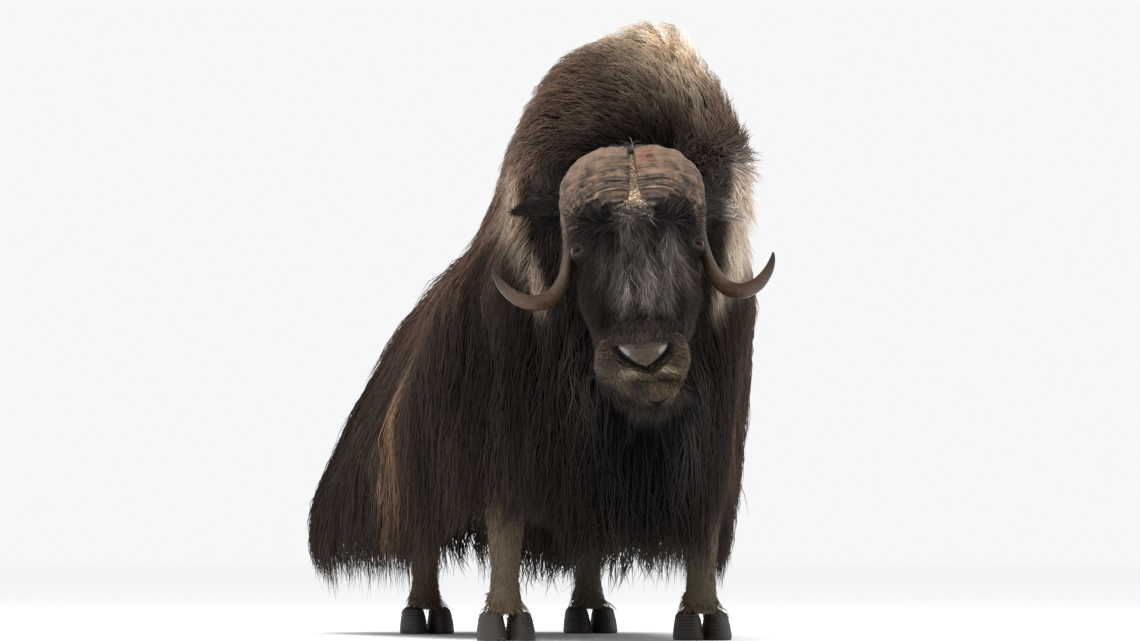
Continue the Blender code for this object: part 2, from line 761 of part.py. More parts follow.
# Tube across the middle, from rows that start at x = 0.
def tube_across(name, rows, collection):
    other_half = [(-x, y, z, radius) for x, y, z, radius in reversed(rows[1:])]
    return tube(name, other_half + list(rows), 1, collection)


# Room for a piece that is sunk in the head, with the gap all round.
def cut_room(head, piece, cutters):
    room = copy_of(piece, piece.name + "_room", cutters)
    swell = room.modifiers.new("gap", "DISPLACE")
    swell.strength = GAP * 1.5
    swell.mid_level = 0.0
    apply_modifiers(room)
    boolean(head, room, "DIFFERENCE")


def make_horn(side, name, head, parts, cutters):
    horn = loft(name, horn_rings(side), parts)
    cut_room(head, horn, cutters)
    move_mesh(horn, head_matrix())
    horn.data.shade_smooth()
    paint(horn, HORN_TAN, HORN_ROUGHNESS)


def ear_rings(side):
    rings = []
    for t, half_height in EAR_ROWS:
        centre = EAR_ROOT * (1 - t) ** 2 + EAR_BEND[side] * (2 * t * (1 - t)) + EAR_TIP[side] * t ** 2
        ring = []
        for k in range(EAR_RING_POINTS):
            angle = 2 * math.pi * k / EAR_RING_POINTS
            cup = EAR_CUP * half_height * math.cos(angle) ** 2
            wall = min(EAR_WALL, half_height) * math.sin(angle)
            offset = Vector((0.0, wall - cup, half_height * math.cos(angle)))
            ring.append(mirrored(centre + offset, side))
        rings.append(ring)
    return rings


def make_ear(side, name, head, parts, cutters):
    ear = loft(name, ear_rings(side), parts)
    cut_room(head, ear, cutters)
    move_mesh(ear, head_matrix())
    paint(ear, FACE_GREY, HAIR_ROUGHNESS)


def shape_muzzle(head, cutters):
    for side, word in ((1, "left"), (-1, "right")):
        boolean(head, tube("nostril_wing_" + word, NOSTRIL_WING, side, cutters), "UNION")
    boolean(head, tube_across("lower_lip", LOWER_LIP, cutters), "UNION")
    boolean(head, tube_across("nostrils", NOSTRIL, cutters), "DIFFERENCE")
    boolean(head, tube_across("mouth_line", MOUTH_LINE, cutters), "DIFFERENCE")


def make_head(parts, cutters):
    rings = [head_ring(row) for row in HEAD_SECTIONS]
    head = loft("head", rings, parts)
    shape_muzzle(head, cutters)
    behind = box("behind_head", (-REACH, HEAD_BACK, -REACH), (REACH, REACH, REACH), cutters)
    boolean(head, behind, "DIFFERENCE")
    for side, word in ((1, "left"), (-1, "right")):
        make_eye(side, "eye_" + word, head, parts, cutters)
    for side, word in ((1, "left"), (-1, "right")):
        make_horn(side, "horn_" + word, head, parts, cutters)
        make_ear(side, "ear_" + word, head, parts, cutters)
    keep_largest(head)
    merge_flat_faces(head, HEAD_FLAT_DEGREES)
    move_mesh(head, head_matrix())
    paint(head, FACE_GREY, HAIR_ROUGHNESS)


def leg_rings(rows, x, y):
    rings = []
    for z, shift, half_x, half_y in rows:
        centre = Vector((x, y + shift, z))
        rings.append(oval_ring(centre, Vector((1, 0, 0)), Vector((0, 1, 0)), half_x, half_y, LEG_POINTS))
    return rings


def make_claw(name, x, y, collection):
    rings = []
    for z, toe, heel, half_width in CLAW_ROWS:
        centre = Vector((x, y + (toe + heel) / 2, z))
        size = (half_width, (heel - toe) / 2)
        ring = oval_ring(centre, Vector((1, 0, 0)), Vector((0, 1, 0)), *size, CLAW_POINTS, CLAW_SQUARENESS)
        rings.append(ring)
    claw = loft(name, rings, collection)
    paint(claw, HOOF_DARK, HOOF_ROUGHNESS)


def make_leg(word, side, x, y, upper_rows, lower_rows, parts, cutters):
    name = word + "leg_" + side
    upper = loft(name + "_upper", leg_rings(upper_rows, x, y), parts)
    paint(upper, COAT_BROWN, HAIR_ROUGHNESS)
    lower = loft(name + "_lower", leg_rings(lower_rows, x, y), parts)
    for k, sign in enumerate((-1, 1)):
        centre = Vector((x + sign * DEWCLAW_X, y + DEWCLAW_Y, DEWCLAW_Z))
        dewclaw = make_ball(name + "_dewclaw_%d" % k, centre, DEWCLAW_SIZE, cutters, 6, 5)
        boolean(lower, dewclaw, "UNION")
        make_claw(name + "_claw_%d" % (k + 1), x + sign * CLAW_OFFSET, y, parts)
    paint(lower, STOCKING_CREAM, HAIR_ROUGHNESS)


def make_tail(parts, cutters):
    rings = []
    for y, z, half_x, half_y in TAIL_ROWS:
        centre = Vector((0, y, z))
        rings.append(oval_ring(centre, Vector((1, 0, 0)), TAIL_SLANT, half_x, half_y, TAIL_POINTS))
    tail = loft("tail", rings, parts)
    cut_room(bpy.data.objects["breech"], tail, cutters)
    keep_largest(bpy.data.objects["breech"])
    paint(tail, COAT_BROWN, HAIR_ROUGHNESS)


# The part's origin is the middle of its box, at floor level.
def set_origin(parts):
    points = [obj.matrix_world @ vert.co for obj in parts.objects for vert in obj.data.vertices]
    low = Vector([min(point[k] for point in points) for k in range(3)])
    high = Vector([max(point[k] for point in points) for k in range(3)])
    origin = bpy.data.objects.new("origin", None)
    parts.objects.link(origin)
    origin.location = (-(low.x + high.x) / 2, -(low.y + high.y) / 2, -low.z)
    for obj in list(parts.objects):
        if obj is not origin:
            obj.parent = origin


def main():
    clear_scene()
    parts = new_collection("muskox")
    cutters = new_collection("cutters")
    make_coat_nodes(parts, cutters)
    make_tail(parts, cutters)
    make_head(parts, cutters)
    for side, word in ((1, "left"), (-1, "right")):
        make_leg("fore", word, side * FORELEG_X, FORELEG_Y, FORELEG_UPPER, FORELEG_LOWER, parts, cutters)
        make_leg("hind", word, side * HINDLEG_X, HINDLEG_Y, HINDLEG_UPPER, HINDLEG_LOWER, parts, cutters)
    for piece in list(cutters.objects):
        bpy.data.objects.remove(piece, do_unlink=True)
    set_origin(parts)


main()
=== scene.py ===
import math

import bmesh
import bpy
import numpy as np
from mathutils import Euler, Matrix, Vector, noise
from mathutils.bvhtree import BVHTree


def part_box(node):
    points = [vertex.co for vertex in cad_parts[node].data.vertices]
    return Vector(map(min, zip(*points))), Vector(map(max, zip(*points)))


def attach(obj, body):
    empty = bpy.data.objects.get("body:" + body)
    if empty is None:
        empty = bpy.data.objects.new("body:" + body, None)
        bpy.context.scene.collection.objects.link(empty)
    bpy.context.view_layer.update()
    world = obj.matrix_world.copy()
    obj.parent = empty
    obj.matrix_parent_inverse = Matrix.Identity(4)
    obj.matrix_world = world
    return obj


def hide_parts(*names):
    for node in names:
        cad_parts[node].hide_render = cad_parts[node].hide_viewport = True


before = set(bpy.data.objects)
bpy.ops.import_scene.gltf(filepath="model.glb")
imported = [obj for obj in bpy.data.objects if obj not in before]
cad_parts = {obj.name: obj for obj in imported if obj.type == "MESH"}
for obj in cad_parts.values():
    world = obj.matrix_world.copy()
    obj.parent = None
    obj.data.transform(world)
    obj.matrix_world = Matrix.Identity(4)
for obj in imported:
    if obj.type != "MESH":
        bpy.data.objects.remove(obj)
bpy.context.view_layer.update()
rng = np.random.default_rng(11)
noise.seed_set(11)  # without a seed, vector noise starts from the clock
print("frame loaded:", len(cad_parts), "nodes")

# The shapes are worked out in the coordinates they were modelled in, then shifted to the frame.
modelClaw = {"x": 0.1945, "y": -0.042}  # middle of one front claw in the modelling coordinates
clawLow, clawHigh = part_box("foreleg_left_claw_1")
toFrame = Vector(((clawLow.x + clawHigh.x) / 2 - modelClaw["x"], (clawLow.y + clawHigh.y) / 2 - modelClaw["y"], 0))


# camera: the photograph's low, distant viewpoint
cameraPlace = {"at": (-2.699, -11.692, 0.20), "heading": 12.664, "pitch": 2.51, "lens": 166.74}


def makeCamera():
    data = bpy.data.cameras.new("camera")
    data.lens = cameraPlace["lens"]
    data.sensor_width = 36.0
    data.clip_end = 200.0
    camera = bpy.data.objects.new("camera", data)
    bpy.context.scene.collection.objects.link(camera)
    camera.location = Vector(cameraPlace["at"]) + toFrame
    camera.rotation_euler = (math.radians(90 + cameraPlace["pitch"]), 0, math.radians(-cameraPlace["heading"]))
    bpy.context.scene.camera = camera


# small numeric helpers
def smoothStep(low, high, value):
    t = np.clip((value - low) / (high - low), 0.0, 1.0)
    return t * t * (3 - 2 * t)


def unit(vectors):
    return vectors / np.maximum(np.linalg.norm(vectors, axis=-1, keepdims=True), 1e-9)


def mix(a, b, t):
    return a + (b - a) * t


# Smooth row at one place of a table of rows, by its first column.
def tableRow(rows, place):
    last = len(rows) - 1
    index = next((k for k in range(last) if place <= rows[k + 1][0]), last - 1)
    before, start, end, after = rows[max(index - 1, 0)], rows[index], rows[index + 1], rows[min(index + 2, last)]
    span = end[0] - start[0]
    t = (place - start[0]) / span
    row = [place]
    for column in range(1, len(start)):
        slopeStart = (end[column] - before[column]) / (end[0] - before[0])
        slopeEnd = (after[column] - start[column]) / (after[0] - start[0])
        value = (2 * t ** 3 - 3 * t ** 2 + 1) * start[column] + (t ** 3 - 2 * t ** 2 + t) * slopeStart * span
        value += (3 * t ** 2 - 2 * t ** 3) * end[column] + (t ** 3 - t ** 2) * slopeEnd * span
        row.append(value)
    return row


# Body envelope: y, top, half width, its height, hem half width, hem height, fullness, lean
coat = {
    "sections": (
        (-0.430, 0.760, 0.100, 0.500, 0.060, 0.330, 0.50, 0.000),
        (-0.385, 0.960, 0.190, 0.600, 0.130, 0.170, 0.50, 0.000),
        (-0.310, 1.180, 0.262, 0.960, 0.180, 0.120, 0.44, 0.015),
        (-0.210, 1.360, 0.308, 1.000, 0.210, 0.115, 0.33, 0.058),
        (-0.100, 1.405, 0.316, 0.900, 0.245, 0.140, 0.33, 0.066),
        (0.000, 1.350, 0.352, 0.740, 0.312, 0.226, 0.44, 0.040),
        (0.130, 1.245, 0.388, 0.670, 0.345, 0.200, 0.56, 0.010),
        (0.350, 1.115, 0.402, 0.550, 0.375, 0.130, 0.57, 0.000),
        (0.600, 1.050, 0.425, 0.450, 0.400, 0.115, 0.54, 0.000),
        (0.900, 1.000, 0.455, 0.360, 0.445, 0.115, 0.54, 0.000),
        (1.120, 0.960, 0.465, 0.340, 0.455, 0.115, 0.54, 0.000),
        (1.280, 0.860, 0.415, 0.360, 0.400, 0.130, 0.56, 0.000),
        (1.380, 0.700, 0.280, 0.400, 0.240, 0.160, 0.60, 0.000),
        (1.420, 0.560, 0.120, 0.400, 0.100, 0.240, 0.60, 0.000),
    ),
    "leanPower": 3,
    "dropPower": 1.6,
    "hemPower": 1.5,
    "coreDepth": 0.050,
    "coreShare": 0.20,
    "coreHemRise": 0.190,
    "coreShortening": 0.960,
    "coreMiddle": 0.500,
    "rows": 110,
    "upperPoints": 44,
    "lowerPoints": 20,
}


def coatRing(row):
    y, top, halfWidth, widest, hemWidth, hem, fullness, lean = row
    drop = np.linspace(0, 1, coat["upperPoints"]) ** coat["dropPower"]
    t = np.linspace(0, 1, coat["lowerPoints"] + 1)[1:]
    x = np.concatenate([halfWidth * drop ** fullness, halfWidth + (hemWidth - halfWidth) * t ** coat["hemPower"]])
    z = np.concatenate([top - (top - widest) * drop, widest + (hem - widest) * t])
    x = np.concatenate([x, [0.0], -x[:0:-1]])
    z = np.concatenate([z, [hem], z[:0:-1]])
    x = x + lean * (np.maximum(z - hem, 0) / (top - hem)) ** coat["leanPower"]
    return np.stack([x, np.full_like(x, y), z], axis=1)


def coreRow(row):
    y, top, halfWidth, widest, hemWidth, hem, fullness, lean = row
    depth = min(coat["coreDepth"], coat["coreShare"] * halfWidth)
    share = (halfWidth - depth) / halfWidth
    y = coat["coreMiddle"] + (y - coat["coreMiddle"]) * coat["coreShortening"]
    hem += coat["coreHemRise"]
    return (y, top - depth, halfWidth - depth, max(widest, hem + depth), hemWidth * share, hem, fullness, lean)


bodyPlaces = np.linspace(coat["sections"][0][0], coat["sections"][-1][0], coat["rows"])
bodyRows = [tableRow(coat["sections"], place) for place in bodyPlaces]
tipGrid = np.array([coatRing(row) for row in bodyRows])
skinGrid = np.array([coatRing(coreRow(row)) for row in bodyRows])


# Faces of a closed loft on a grid of rings, with a fan at each end.
def loftFaces(ringCount, pointCount):
    k = np.arange(pointCount)
    n = (k + 1) % pointCount
    faces = []
    for ring in range(ringCount - 1):
        low, high = ring * pointCount, (ring + 1) * pointCount
        faces += np.stack([low + k, low + n, high + n, high + k], axis=1).tolist()
    first, last = ringCount * pointCount, ringCount * pointCount + 1
    top = (ringCount - 1) * pointCount
    faces += [[first, int(b), int(a)] for a, b in zip(k, n)]
    faces += [[last, int(top + a), int(top + b)] for a, b in zip(k, n)]
    return faces


def bvhOfGrid(grid):
    faces = loftFaces(grid.shape[0], grid.shape[1])
    points = np.concatenate([grid.reshape(-1, 3), [grid[0].mean(axis=0)], [grid[-1].mean(axis=0)]])
    tree = BVHTree.FromPolygons(points.tolist(), faces)
    middle = Vector(points.mean(axis=0).tolist())
    hit = tree.ray_cast(middle, Vector((0, 0, 1)))
    return tree, (1.0 if hit[1].z > 0 else -1.0)


def loftObject(name, grid):
    points = np.concatenate([grid.reshape(-1, 3), [grid[0].mean(axis=0)], [grid[-1].mean(axis=0)]])
    mesh = bpy.data.meshes.new(name)
    mesh.from_pydata(points.tolist(), [], loftFaces(grid.shape[0], grid.shape[1]))
    shape = bmesh.new()
    shape.from_mesh(mesh)
    bmesh.ops.recalc_face_normals(shape, faces=shape.faces)
    bmesh.ops.triangulate(shape, faces=shape.faces)
    shape.to_mesh(mesh)
    shape.free()
    piece = bpy.data.objects.new(name, mesh)
    bpy.context.scene.collection.objects.link(piece)
    return piece


def appliedMesh(piece):
    graph = bpy.context.evaluated_depsgraph_get()
    graph.update()
    mesh = bpy.data.meshes.new_from_object(piece.evaluated_get(graph))
    piece.modifiers.clear()
    piece.data = mesh


def joined(piece, other, operation="UNION"):
    modifier = piece.modifiers.new("joined", "BOOLEAN")
    modifier.operation = operation
    modifier.solver = "MANIFOLD"
    modifier.object = other
    appliedMesh(piece)
    bpy.data.objects.remove(other, do_unlink=True)


# Head: its frame sits midway between the eyes. Sections: height, half width, front, back, squareness
head = {
    "at": (-0.026, -0.470, 0.866),
    "turn": -9.5,
    "roll": -3.5,
    "pitch": -14.0,
    "flatness": 0.65,
    "back": 0.130,
    "hairDepth": 0.005,
    "sections": (
        (-0.344, 0.056, -0.035, 0.035, 0.90),
        (-0.331, 0.086, -0.060, 0.070, 0.80),
        (-0.312, 0.103, -0.074, 0.100, 0.78),
        (-0.278, 0.107, -0.080, 0.120, 0.76),
        (-0.240, 0.103, -0.074, 0.135, 0.78),
        (-0.205, 0.099, -0.064, 0.150, 0.80),
        (-0.145, 0.106, -0.056, 0.175, 0.82),
        (-0.070, 0.118, -0.046, 0.205, 0.80),
        (0.000, 0.131, -0.036, 0.225, 0.80),
        (0.060, 0.130, -0.026, 0.230, 0.85),
        (0.130, 0.122, -0.006, 0.220, 0.88),
        (0.175, 0.100, 0.022, 0.200, 0.90),
        (0.200, 0.060, 0.060, 0.160, 0.95),
    ),
    "muzzleTop": -0.170,
    "jawZ": (-0.262, -0.335),
    "jawTaper": 0.50,
    "bends": ((-0.180, -0.240, -0.010), (-0.285, -0.335, 0.026)),  # sideways shifts of muzzle and jaw
    "fineStep": 0.0021,
    "coarseStep": 0.0042,
    "ringPoints": 156,
}
eye = {"radius": 0.0185, "at": (0.128, 0.006, 0.0), "gaze": (0.62, -0.78, 0.0), "lid": 0.0218, "blend": 0.030,
       "rootDepth": 0.045, "opening": (0.0163, 0.0101, 0.030), "openingAhead": 0.022, "look": (0.17, -0.97, -0.12)}

headTurn = Euler((0, 0, math.radians(head["turn"]))).to_matrix()
headRoll = Euler((0, math.radians(head["roll"]), 0)).to_matrix()
headPitch = Euler((math.radians(head["pitch"]), 0, 0)).to_matrix()
headMatrix = Matrix.Translation(head["at"]) @ (headTurn @ headRoll @ headPitch).to_4x4()
headRotation = np.array(headMatrix.to_3x3())
headOrigin = np.array(head["at"])


# The muzzle is pushed a little to one side, and the jaw to the other, as in a chewing animal.
def bendOf(points):
    shift = np.zeros(points.shape)
    for start, end, size in head["bends"]:
        shift[..., 0] += size * smoothStep(start, end, points[..., 2])
    return shift


def headToModel(points):
    return (points + bendOf(points)) @ headRotation.T + headOrigin


def modelToHead(points):
    straight = (points - headOrigin) @ headRotation
    return straight - bendOf(straight)


# Distance from points to a line on the head, with the radius there; flat < 1 counts depth for less.
def lineDistance(points, name, side, flat=1.0):
    rows = muzzleLines[name]
    line, radii = rows[:, :3] * [side, flat, 1], rows[:, 3]
    points = points * [1, flat, 1]
    best = np.full(len(points), 9.0)
    radius = np.zeros(len(points))
    for a, b, ra, rb in zip(line, line[1:], radii, radii[1:]):
        step = b - a
        t = np.clip(((points - a) @ step) / (step @ step), 0, 1)
        away = np.linalg.norm(points - a - t[:, None] * step, axis=1)
        closer = away < best
        best[closer] = away[closer]
        radius[closer] = (ra + (rb - ra) * t)[closer]
    return best, radius


# Lines on the muzzle in the head's frame: x, y, z, radius; each is laid on the head's surface.
muzzle = {
    "nostril": (
        (0.000, -0.088, -0.3065, 0.0062), (0.022, -0.088, -0.2970, 0.0074), (0.0400, -0.082, -0.2825, 0.0084),
        (0.0560, -0.076, -0.2650, 0.0090), (0.0655, -0.070, -0.2490, 0.0086), (0.0675, -0.072, -0.2380, 0.0060),
    ),
    "wing": (
        (0.064, -0.062, -0.212, 0.0050), (0.083, -0.056, -0.222, 0.0095), (0.091, -0.050, -0.245, 0.0110),
        (0.086, -0.056, -0.279, 0.0110), (0.060, -0.070, -0.303, 0.0090), (0.030, -0.080, -0.316, 0.0060),
    ),
    "mouth": (
        (0.000, -0.078, -0.3290, 0.0036), (0.034, -0.075, -0.3240, 0.0036), (0.062, -0.060, -0.3150, 0.0034),
        (0.080, -0.034, -0.3020, 0.0030), (0.094, 0.008, -0.2910, 0.0016),
    ),
    "lowerLip": (
        (0.000, -0.068, -0.336, 0.0100), (0.030, -0.062, -0.333, 0.0100), (0.050, -0.045, -0.326, 0.0080),
    ),
    "philtrum": ((0.0, -0.088, -0.300, 0.0022), (0.0, -0.086, -0.320, 0.0018)),
    "fold": ((0.000, -0.067, -0.176, 0.0060), (0.034, -0.063, -0.175, 0.0060), (0.062, -0.050, -0.168, 0.0036)),
    "foldBelow": ((0.000, -0.068, -0.194, 0.0090), (0.036, -0.064, -0.192, 0.0090), (0.064, -0.050, -0.186, 0.0060)),
    "padCorner": ((0.043, -0.082, -0.2600, 0.0056), (0.054, -0.076, -0.2520, 0.0062)),
}
muzzleLines = {}


def snapLines():
    tree, sign = bvhOfGrid(headGrid)
    for name, rows in muzzle.items():
        rows = np.array(rows)
        fine = np.linspace(0, len(rows) - 1, 8 * (len(rows) - 1) + 1)
        path = np.stack([np.interp(fine, np.arange(len(rows)), rows[:, k]) for k in range(4)], axis=1)
        for point in path:
            point[:3] = tree.find_nearest(Vector(point[:3]))[0]
        muzzleLines[name] = path


# The bare nose pad: a wide V between the nostrils, 1 inside and 0 outside.
def padMask(points, margin=0.0):
    x, y, z = np.abs(points[..., 0]), points[..., 1], points[..., 2]
    low = smoothStep(-0.001, 0.003, z + 0.3005 - 0.68 * x - 0.6 * np.maximum(x - 0.04, 0) - margin)
    high = smoothStep(0.010, -0.010, z + 0.2400 + 0.10 * (0.06 - x) + margin)
    return low * high * smoothStep(0.066, 0.060, x + margin) * (y < -0.03)


def headRing(z):
    row = tableRow(head["sections"], z)
    halfWidth, front, back, squareness = row[1:]
    jaw = float(smoothStep(*head["jawZ"], z))
    halfWidth *= (1 - head["jawTaper"] * jaw) * (1 - 0.085 * float(smoothStep(-0.185, -0.225, z)))
    squareness = mix(squareness, 0.93, float(smoothStep(-0.19, -0.24, z)))
    shrink = head["hairDepth"] * float(smoothStep(-0.300, -0.180, z))
    halfWidth, front, back = halfWidth - shrink, front + shrink, back - shrink
    middle = front + head["flatness"] * halfWidth
    place = np.linspace(0, 1, head["ringPoints"], endpoint=False)
    angle = 2 * math.pi * (place + 0.060 * np.sin(4 * math.pi * place))  # more points in front
    c, s = np.cos(angle), np.sin(angle)
    c, s = np.sign(c) * np.abs(c) ** squareness, np.sign(s) * np.abs(s) ** squareness
    depth = np.where(s > 0, back - middle, middle - front)
    return np.stack([halfWidth * c, middle + depth * s, np.full_like(c, z)], axis=1)


def gridNormals(grid):
    across = np.roll(grid, -1, axis=1) - np.roll(grid, 1, axis=1)
    along = np.gradient(grid, axis=0)
    normals = unit(np.cross(across, along))
    outward = grid - grid.mean(axis=1, keepdims=True)
    return normals * np.sign((normals * outward).sum(axis=-1, keepdims=True).mean())


def headZs():
    low, high = head["sections"][0][0], head["sections"][-1][0]
    fine = np.arange(low, head["muzzleTop"], head["fineStep"])
    coarse = np.arange(head["muzzleTop"], high, head["coarseStep"])
    return np.concatenate([fine, coarse, [high]])


# How far each point of the head moves along its normal, for muzzle, lips, folds and brows.
relief = {
    "ridges": (("wing", 0.0055, 1.4), ("lowerLip", 0.0060, 1.3), ("foldBelow", 0.0040, 1.1), ("padCorner", 0.0028, 1.0)),
    "grooves": (("fold", 0.0055), ("nostril", 0.0160), ("mouth", 0.0085), ("philtrum", 0.0020)),
    "pad": 0.0055,
    # centre, radii and height of soft swellings, on both sides
    "swellings": (
        ("brow", (0.110, -0.022, 0.046), (0.046, 0.040, 0.026), 0.0120),
        ("cheek", (0.112, 0.030, -0.130), (0.040, 0.090, 0.080), 0.0070),
        ("hollow", (0.100, -0.040, -0.080), (0.030, 0.030, 0.050), -0.0060),
        ("upperLip", (0.044, -0.070, -0.308), (0.034, 0.040, 0.012), 0.0030),
        ("lipCorner", (0.086, -0.020, -0.296), (0.024, 0.034, 0.024), 0.0040),
    ),
}


def headRelief(points):
    move = np.zeros(len(points))
    for side in (1, -1):
        half = points[:, 0] * side >= 0
        for name, height, width in relief["ridges"]:
            away, radius = lineDistance(points, name, side)
            move += half * height * np.exp(-(away / (radius * width)) ** 2)
        for name, centre, radii, height in relief["swellings"]:
            away = (points - np.array(centre) * [side, 1, 1]) / radii
            move += height * np.exp(-(away ** 2).sum(axis=1))
    move += relief["pad"] * padMask(points)
    for side in (1, -1):
        half = points[:, 0] * side >= 0
        for name, depth in relief["grooves"]:
            away, radius = lineDistance(points, name, side)
            move -= half * depth * (1 - smoothStep(radius * 0.70, radius * 1.30, away))
    return move


# The head rises smoothly over each eyeball to make its lids, with folds of skin round them.
def raiseLids(grid):
    points = grid.reshape(-1, 3).copy()
    for side in (1, -1):
        centre = np.array(eye["at"]) * [side, 1, 1]
        gaze = unit(np.array(eye["gaze"]) * [side, 1, 1])
        near = np.linalg.norm(points - centre, axis=1) < 0.085
        start = points[near]
        way = unit(start - (centre - gaze * eye["rootDepth"]))
        travel = np.zeros(len(start))
        for step in range(24):
            here = start + way * travel[:, None]
            away = np.linalg.norm(here - centre, axis=1) - eye["lid"]
            join = np.maximum(eye["blend"] - np.abs(away - travel), 0) / eye["blend"]
            travel -= np.minimum(np.minimum(away, travel) - join ** 2 * eye["blend"] / 4, 0.004)
            travel = np.maximum(travel, 0)
        here = start + way * travel[:, None]
        ahead = (here - centre) @ gaze
        reach = np.linalg.norm(here - centre - ahead[:, None] * gaze, axis=1)
        above = 1 + 0.5 * smoothStep(0.0, 0.02, here[:, 2] - centre[2])
        fold = np.exp(-((reach - 0.0215) / 0.0020) ** 2) + 0.7 * np.exp(-((reach - 0.0290) / 0.0026) ** 2)
        fade = smoothStep(0.085, 0.060, np.linalg.norm(start - centre, axis=1))
        here = here - way * (0.0014 * fold * above * (ahead > -0.01))[:, None]
        points[near] = mix(start, here, fade[:, None])
    return points.reshape(grid.shape)


headHeights = headZs()
headGrid = np.array([headRing(z) for z in headHeights])
snapLines()
headNormals = gridNormals(headGrid)
headGrid = headGrid + headNormals * headRelief(headGrid.reshape(-1, 3)).reshape(headGrid.shape[:2] + (1,))
headGrid = raiseLids(headGrid)

# Ears: root, bend and tip; the animal's left ear is folded back into the mane.
ear = {
    "root": (0.104, 0.108, 0.122),
    "bend": {-1: (0.190, 0.112, 0.146), 1: (0.170, 0.108, 0.130)},
    "tip": {-1: (0.266, 0.104, 0.128), 1: (0.236, 0.112, 0.092)},
    "rows": ((0.0, 0.012), (0.25, 0.018), (0.5, 0.021), (0.75, 0.018), (0.92, 0.010), (1.0, 0.002)),
    "cup": 0.45,
    "wall": 0.005,
    "steps": 40,
    "points": 40,
}


def earGrid(side):
    rings = []
    for t in np.linspace(0, 1, ear["steps"]):
        halfHeight = max(tableRow(ear["rows"], t)[1], 0.002)
        root, bend, tip = np.array(ear["root"]), np.array(ear["bend"][side]), np.array(ear["tip"][side])
        centre = root * (1 - t) ** 2 + bend * (2 * t * (1 - t)) + tip * t ** 2
        angle = np.linspace(0, 2 * math.pi, ear["points"], endpoint=False)
        cup = ear["cup"] * halfHeight * np.cos(angle) ** 2
        wall = min(ear["wall"], halfHeight) * np.sin(angle)
        ring = centre + np.stack([np.zeros_like(angle), wall - cup, halfHeight * np.cos(angle)], axis=1)
        rings.append(ring * [side, 1, 1])
    return np.array(rings)


# Legs: height, shift back, half width, half depth, from the hoof up to inside the body
legs = {
    "fore": {"x": 0.228, "y": -0.030, "rows": (
        (0.060, -0.004, 0.042, 0.046), (0.090, 0.004, 0.040, 0.046), (0.120, 0.006, 0.036, 0.044),
        (0.160, 0.002, 0.034, 0.042), (0.200, 0.000, 0.036, 0.044), (0.250, 0.000, 0.040, 0.050),
        (0.300, 0.000, 0.045, 0.055), (0.360, 0.004, 0.047, 0.070), (0.440, 0.010, 0.048, 0.085))},
    "hind": {"x": 0.205, "y": 1.010, "rows": (
        (0.060, -0.004, 0.040, 0.046), (0.090, 0.008, 0.038, 0.046), (0.120, 0.016, 0.035, 0.043),
        (0.160, 0.024, 0.033, 0.041), (0.200, 0.030, 0.034, 0.042), (0.270, 0.044, 0.036, 0.046),
        (0.340, 0.058, 0.042, 0.060), (0.440, 0.030, 0.056, 0.095))},
    "hairDepth": 0.004,
    "steps": 44,
    "points": 36,
    "dewclaw": {"x": 0.022, "y": 0.046, "z": 0.092, "size": (0.011, 0.017, 0.019)},
}


def legGrid(kind, side):
    leg = legs[kind]
    rings = []
    for z in np.linspace(leg["rows"][0][0], leg["rows"][-1][0], legs["steps"]):
        shift, halfX, halfY = tableRow(leg["rows"], z)[1:]
        angle = np.linspace(0, 2 * math.pi, legs["points"], endpoint=False)
        thin = legs["hairDepth"]
        x = side * leg["x"] + (halfX - thin) * np.cos(angle)
        y = leg["y"] + shift + (halfY - thin) * np.sin(angle)
        rings.append(np.stack([x, y, np.full_like(x, z)], axis=1))
    return np.array(rings)


tail = {"rows": (
    (1.315, 0.790, 0.024, 0.016), (1.350, 0.760, 0.036, 0.022), (1.385, 0.715, 0.042, 0.022),
    (1.405, 0.665, 0.038, 0.018), (1.415, 0.615, 0.022, 0.010), (1.418, 0.585, 0.004, 0.003)),
    "slant": (0.0, 1.0, 0.3)}


def tailGrid():
    rings = []
    for y in np.linspace(1.30, 1.4178, 30):
        z, halfX, halfY = tableRow(tail["rows"], y)[1:]
        angle = np.linspace(0, 2 * math.pi, 24, endpoint=False)
        slant = np.array(tail["slant"])
        ring = np.array([0, y, z]) + np.outer(np.cos(angle) * max(halfX, 0.003), [1, 0, 0])
        rings.append(ring + np.outer(np.sin(angle) * max(halfY, 0.002), slant))
    return np.array(rings)


def ball(name, centre, radii, turn=None, segments=40, rings=28):
    shape = bmesh.new()
    bmesh.ops.create_uvsphere(shape, u_segments=segments, v_segments=rings, radius=1.0)
    rotation = turn.to_4x4() if turn else Matrix.Identity(4)
    matrix = Matrix.Translation(centre) @ rotation @ Matrix.Diagonal((*radii, 1.0))
    bmesh.ops.transform(shape, matrix=matrix, verts=shape.verts)
    bmesh.ops.triangulate(shape, faces=shape.faces)
    mesh = bpy.data.meshes.new(name)
    shape.to_mesh(mesh)
    shape.free()
    piece = bpy.data.objects.new(name, mesh)
    bpy.context.scene.collection.objects.link(piece)
    return piece


def gazeMatrix(side):
    gaze = Vector((eye["gaze"][0] * side, eye["gaze"][1], eye["gaze"][2])).normalized()
    return gaze, gaze.to_track_quat("Z", "Y").to_matrix()


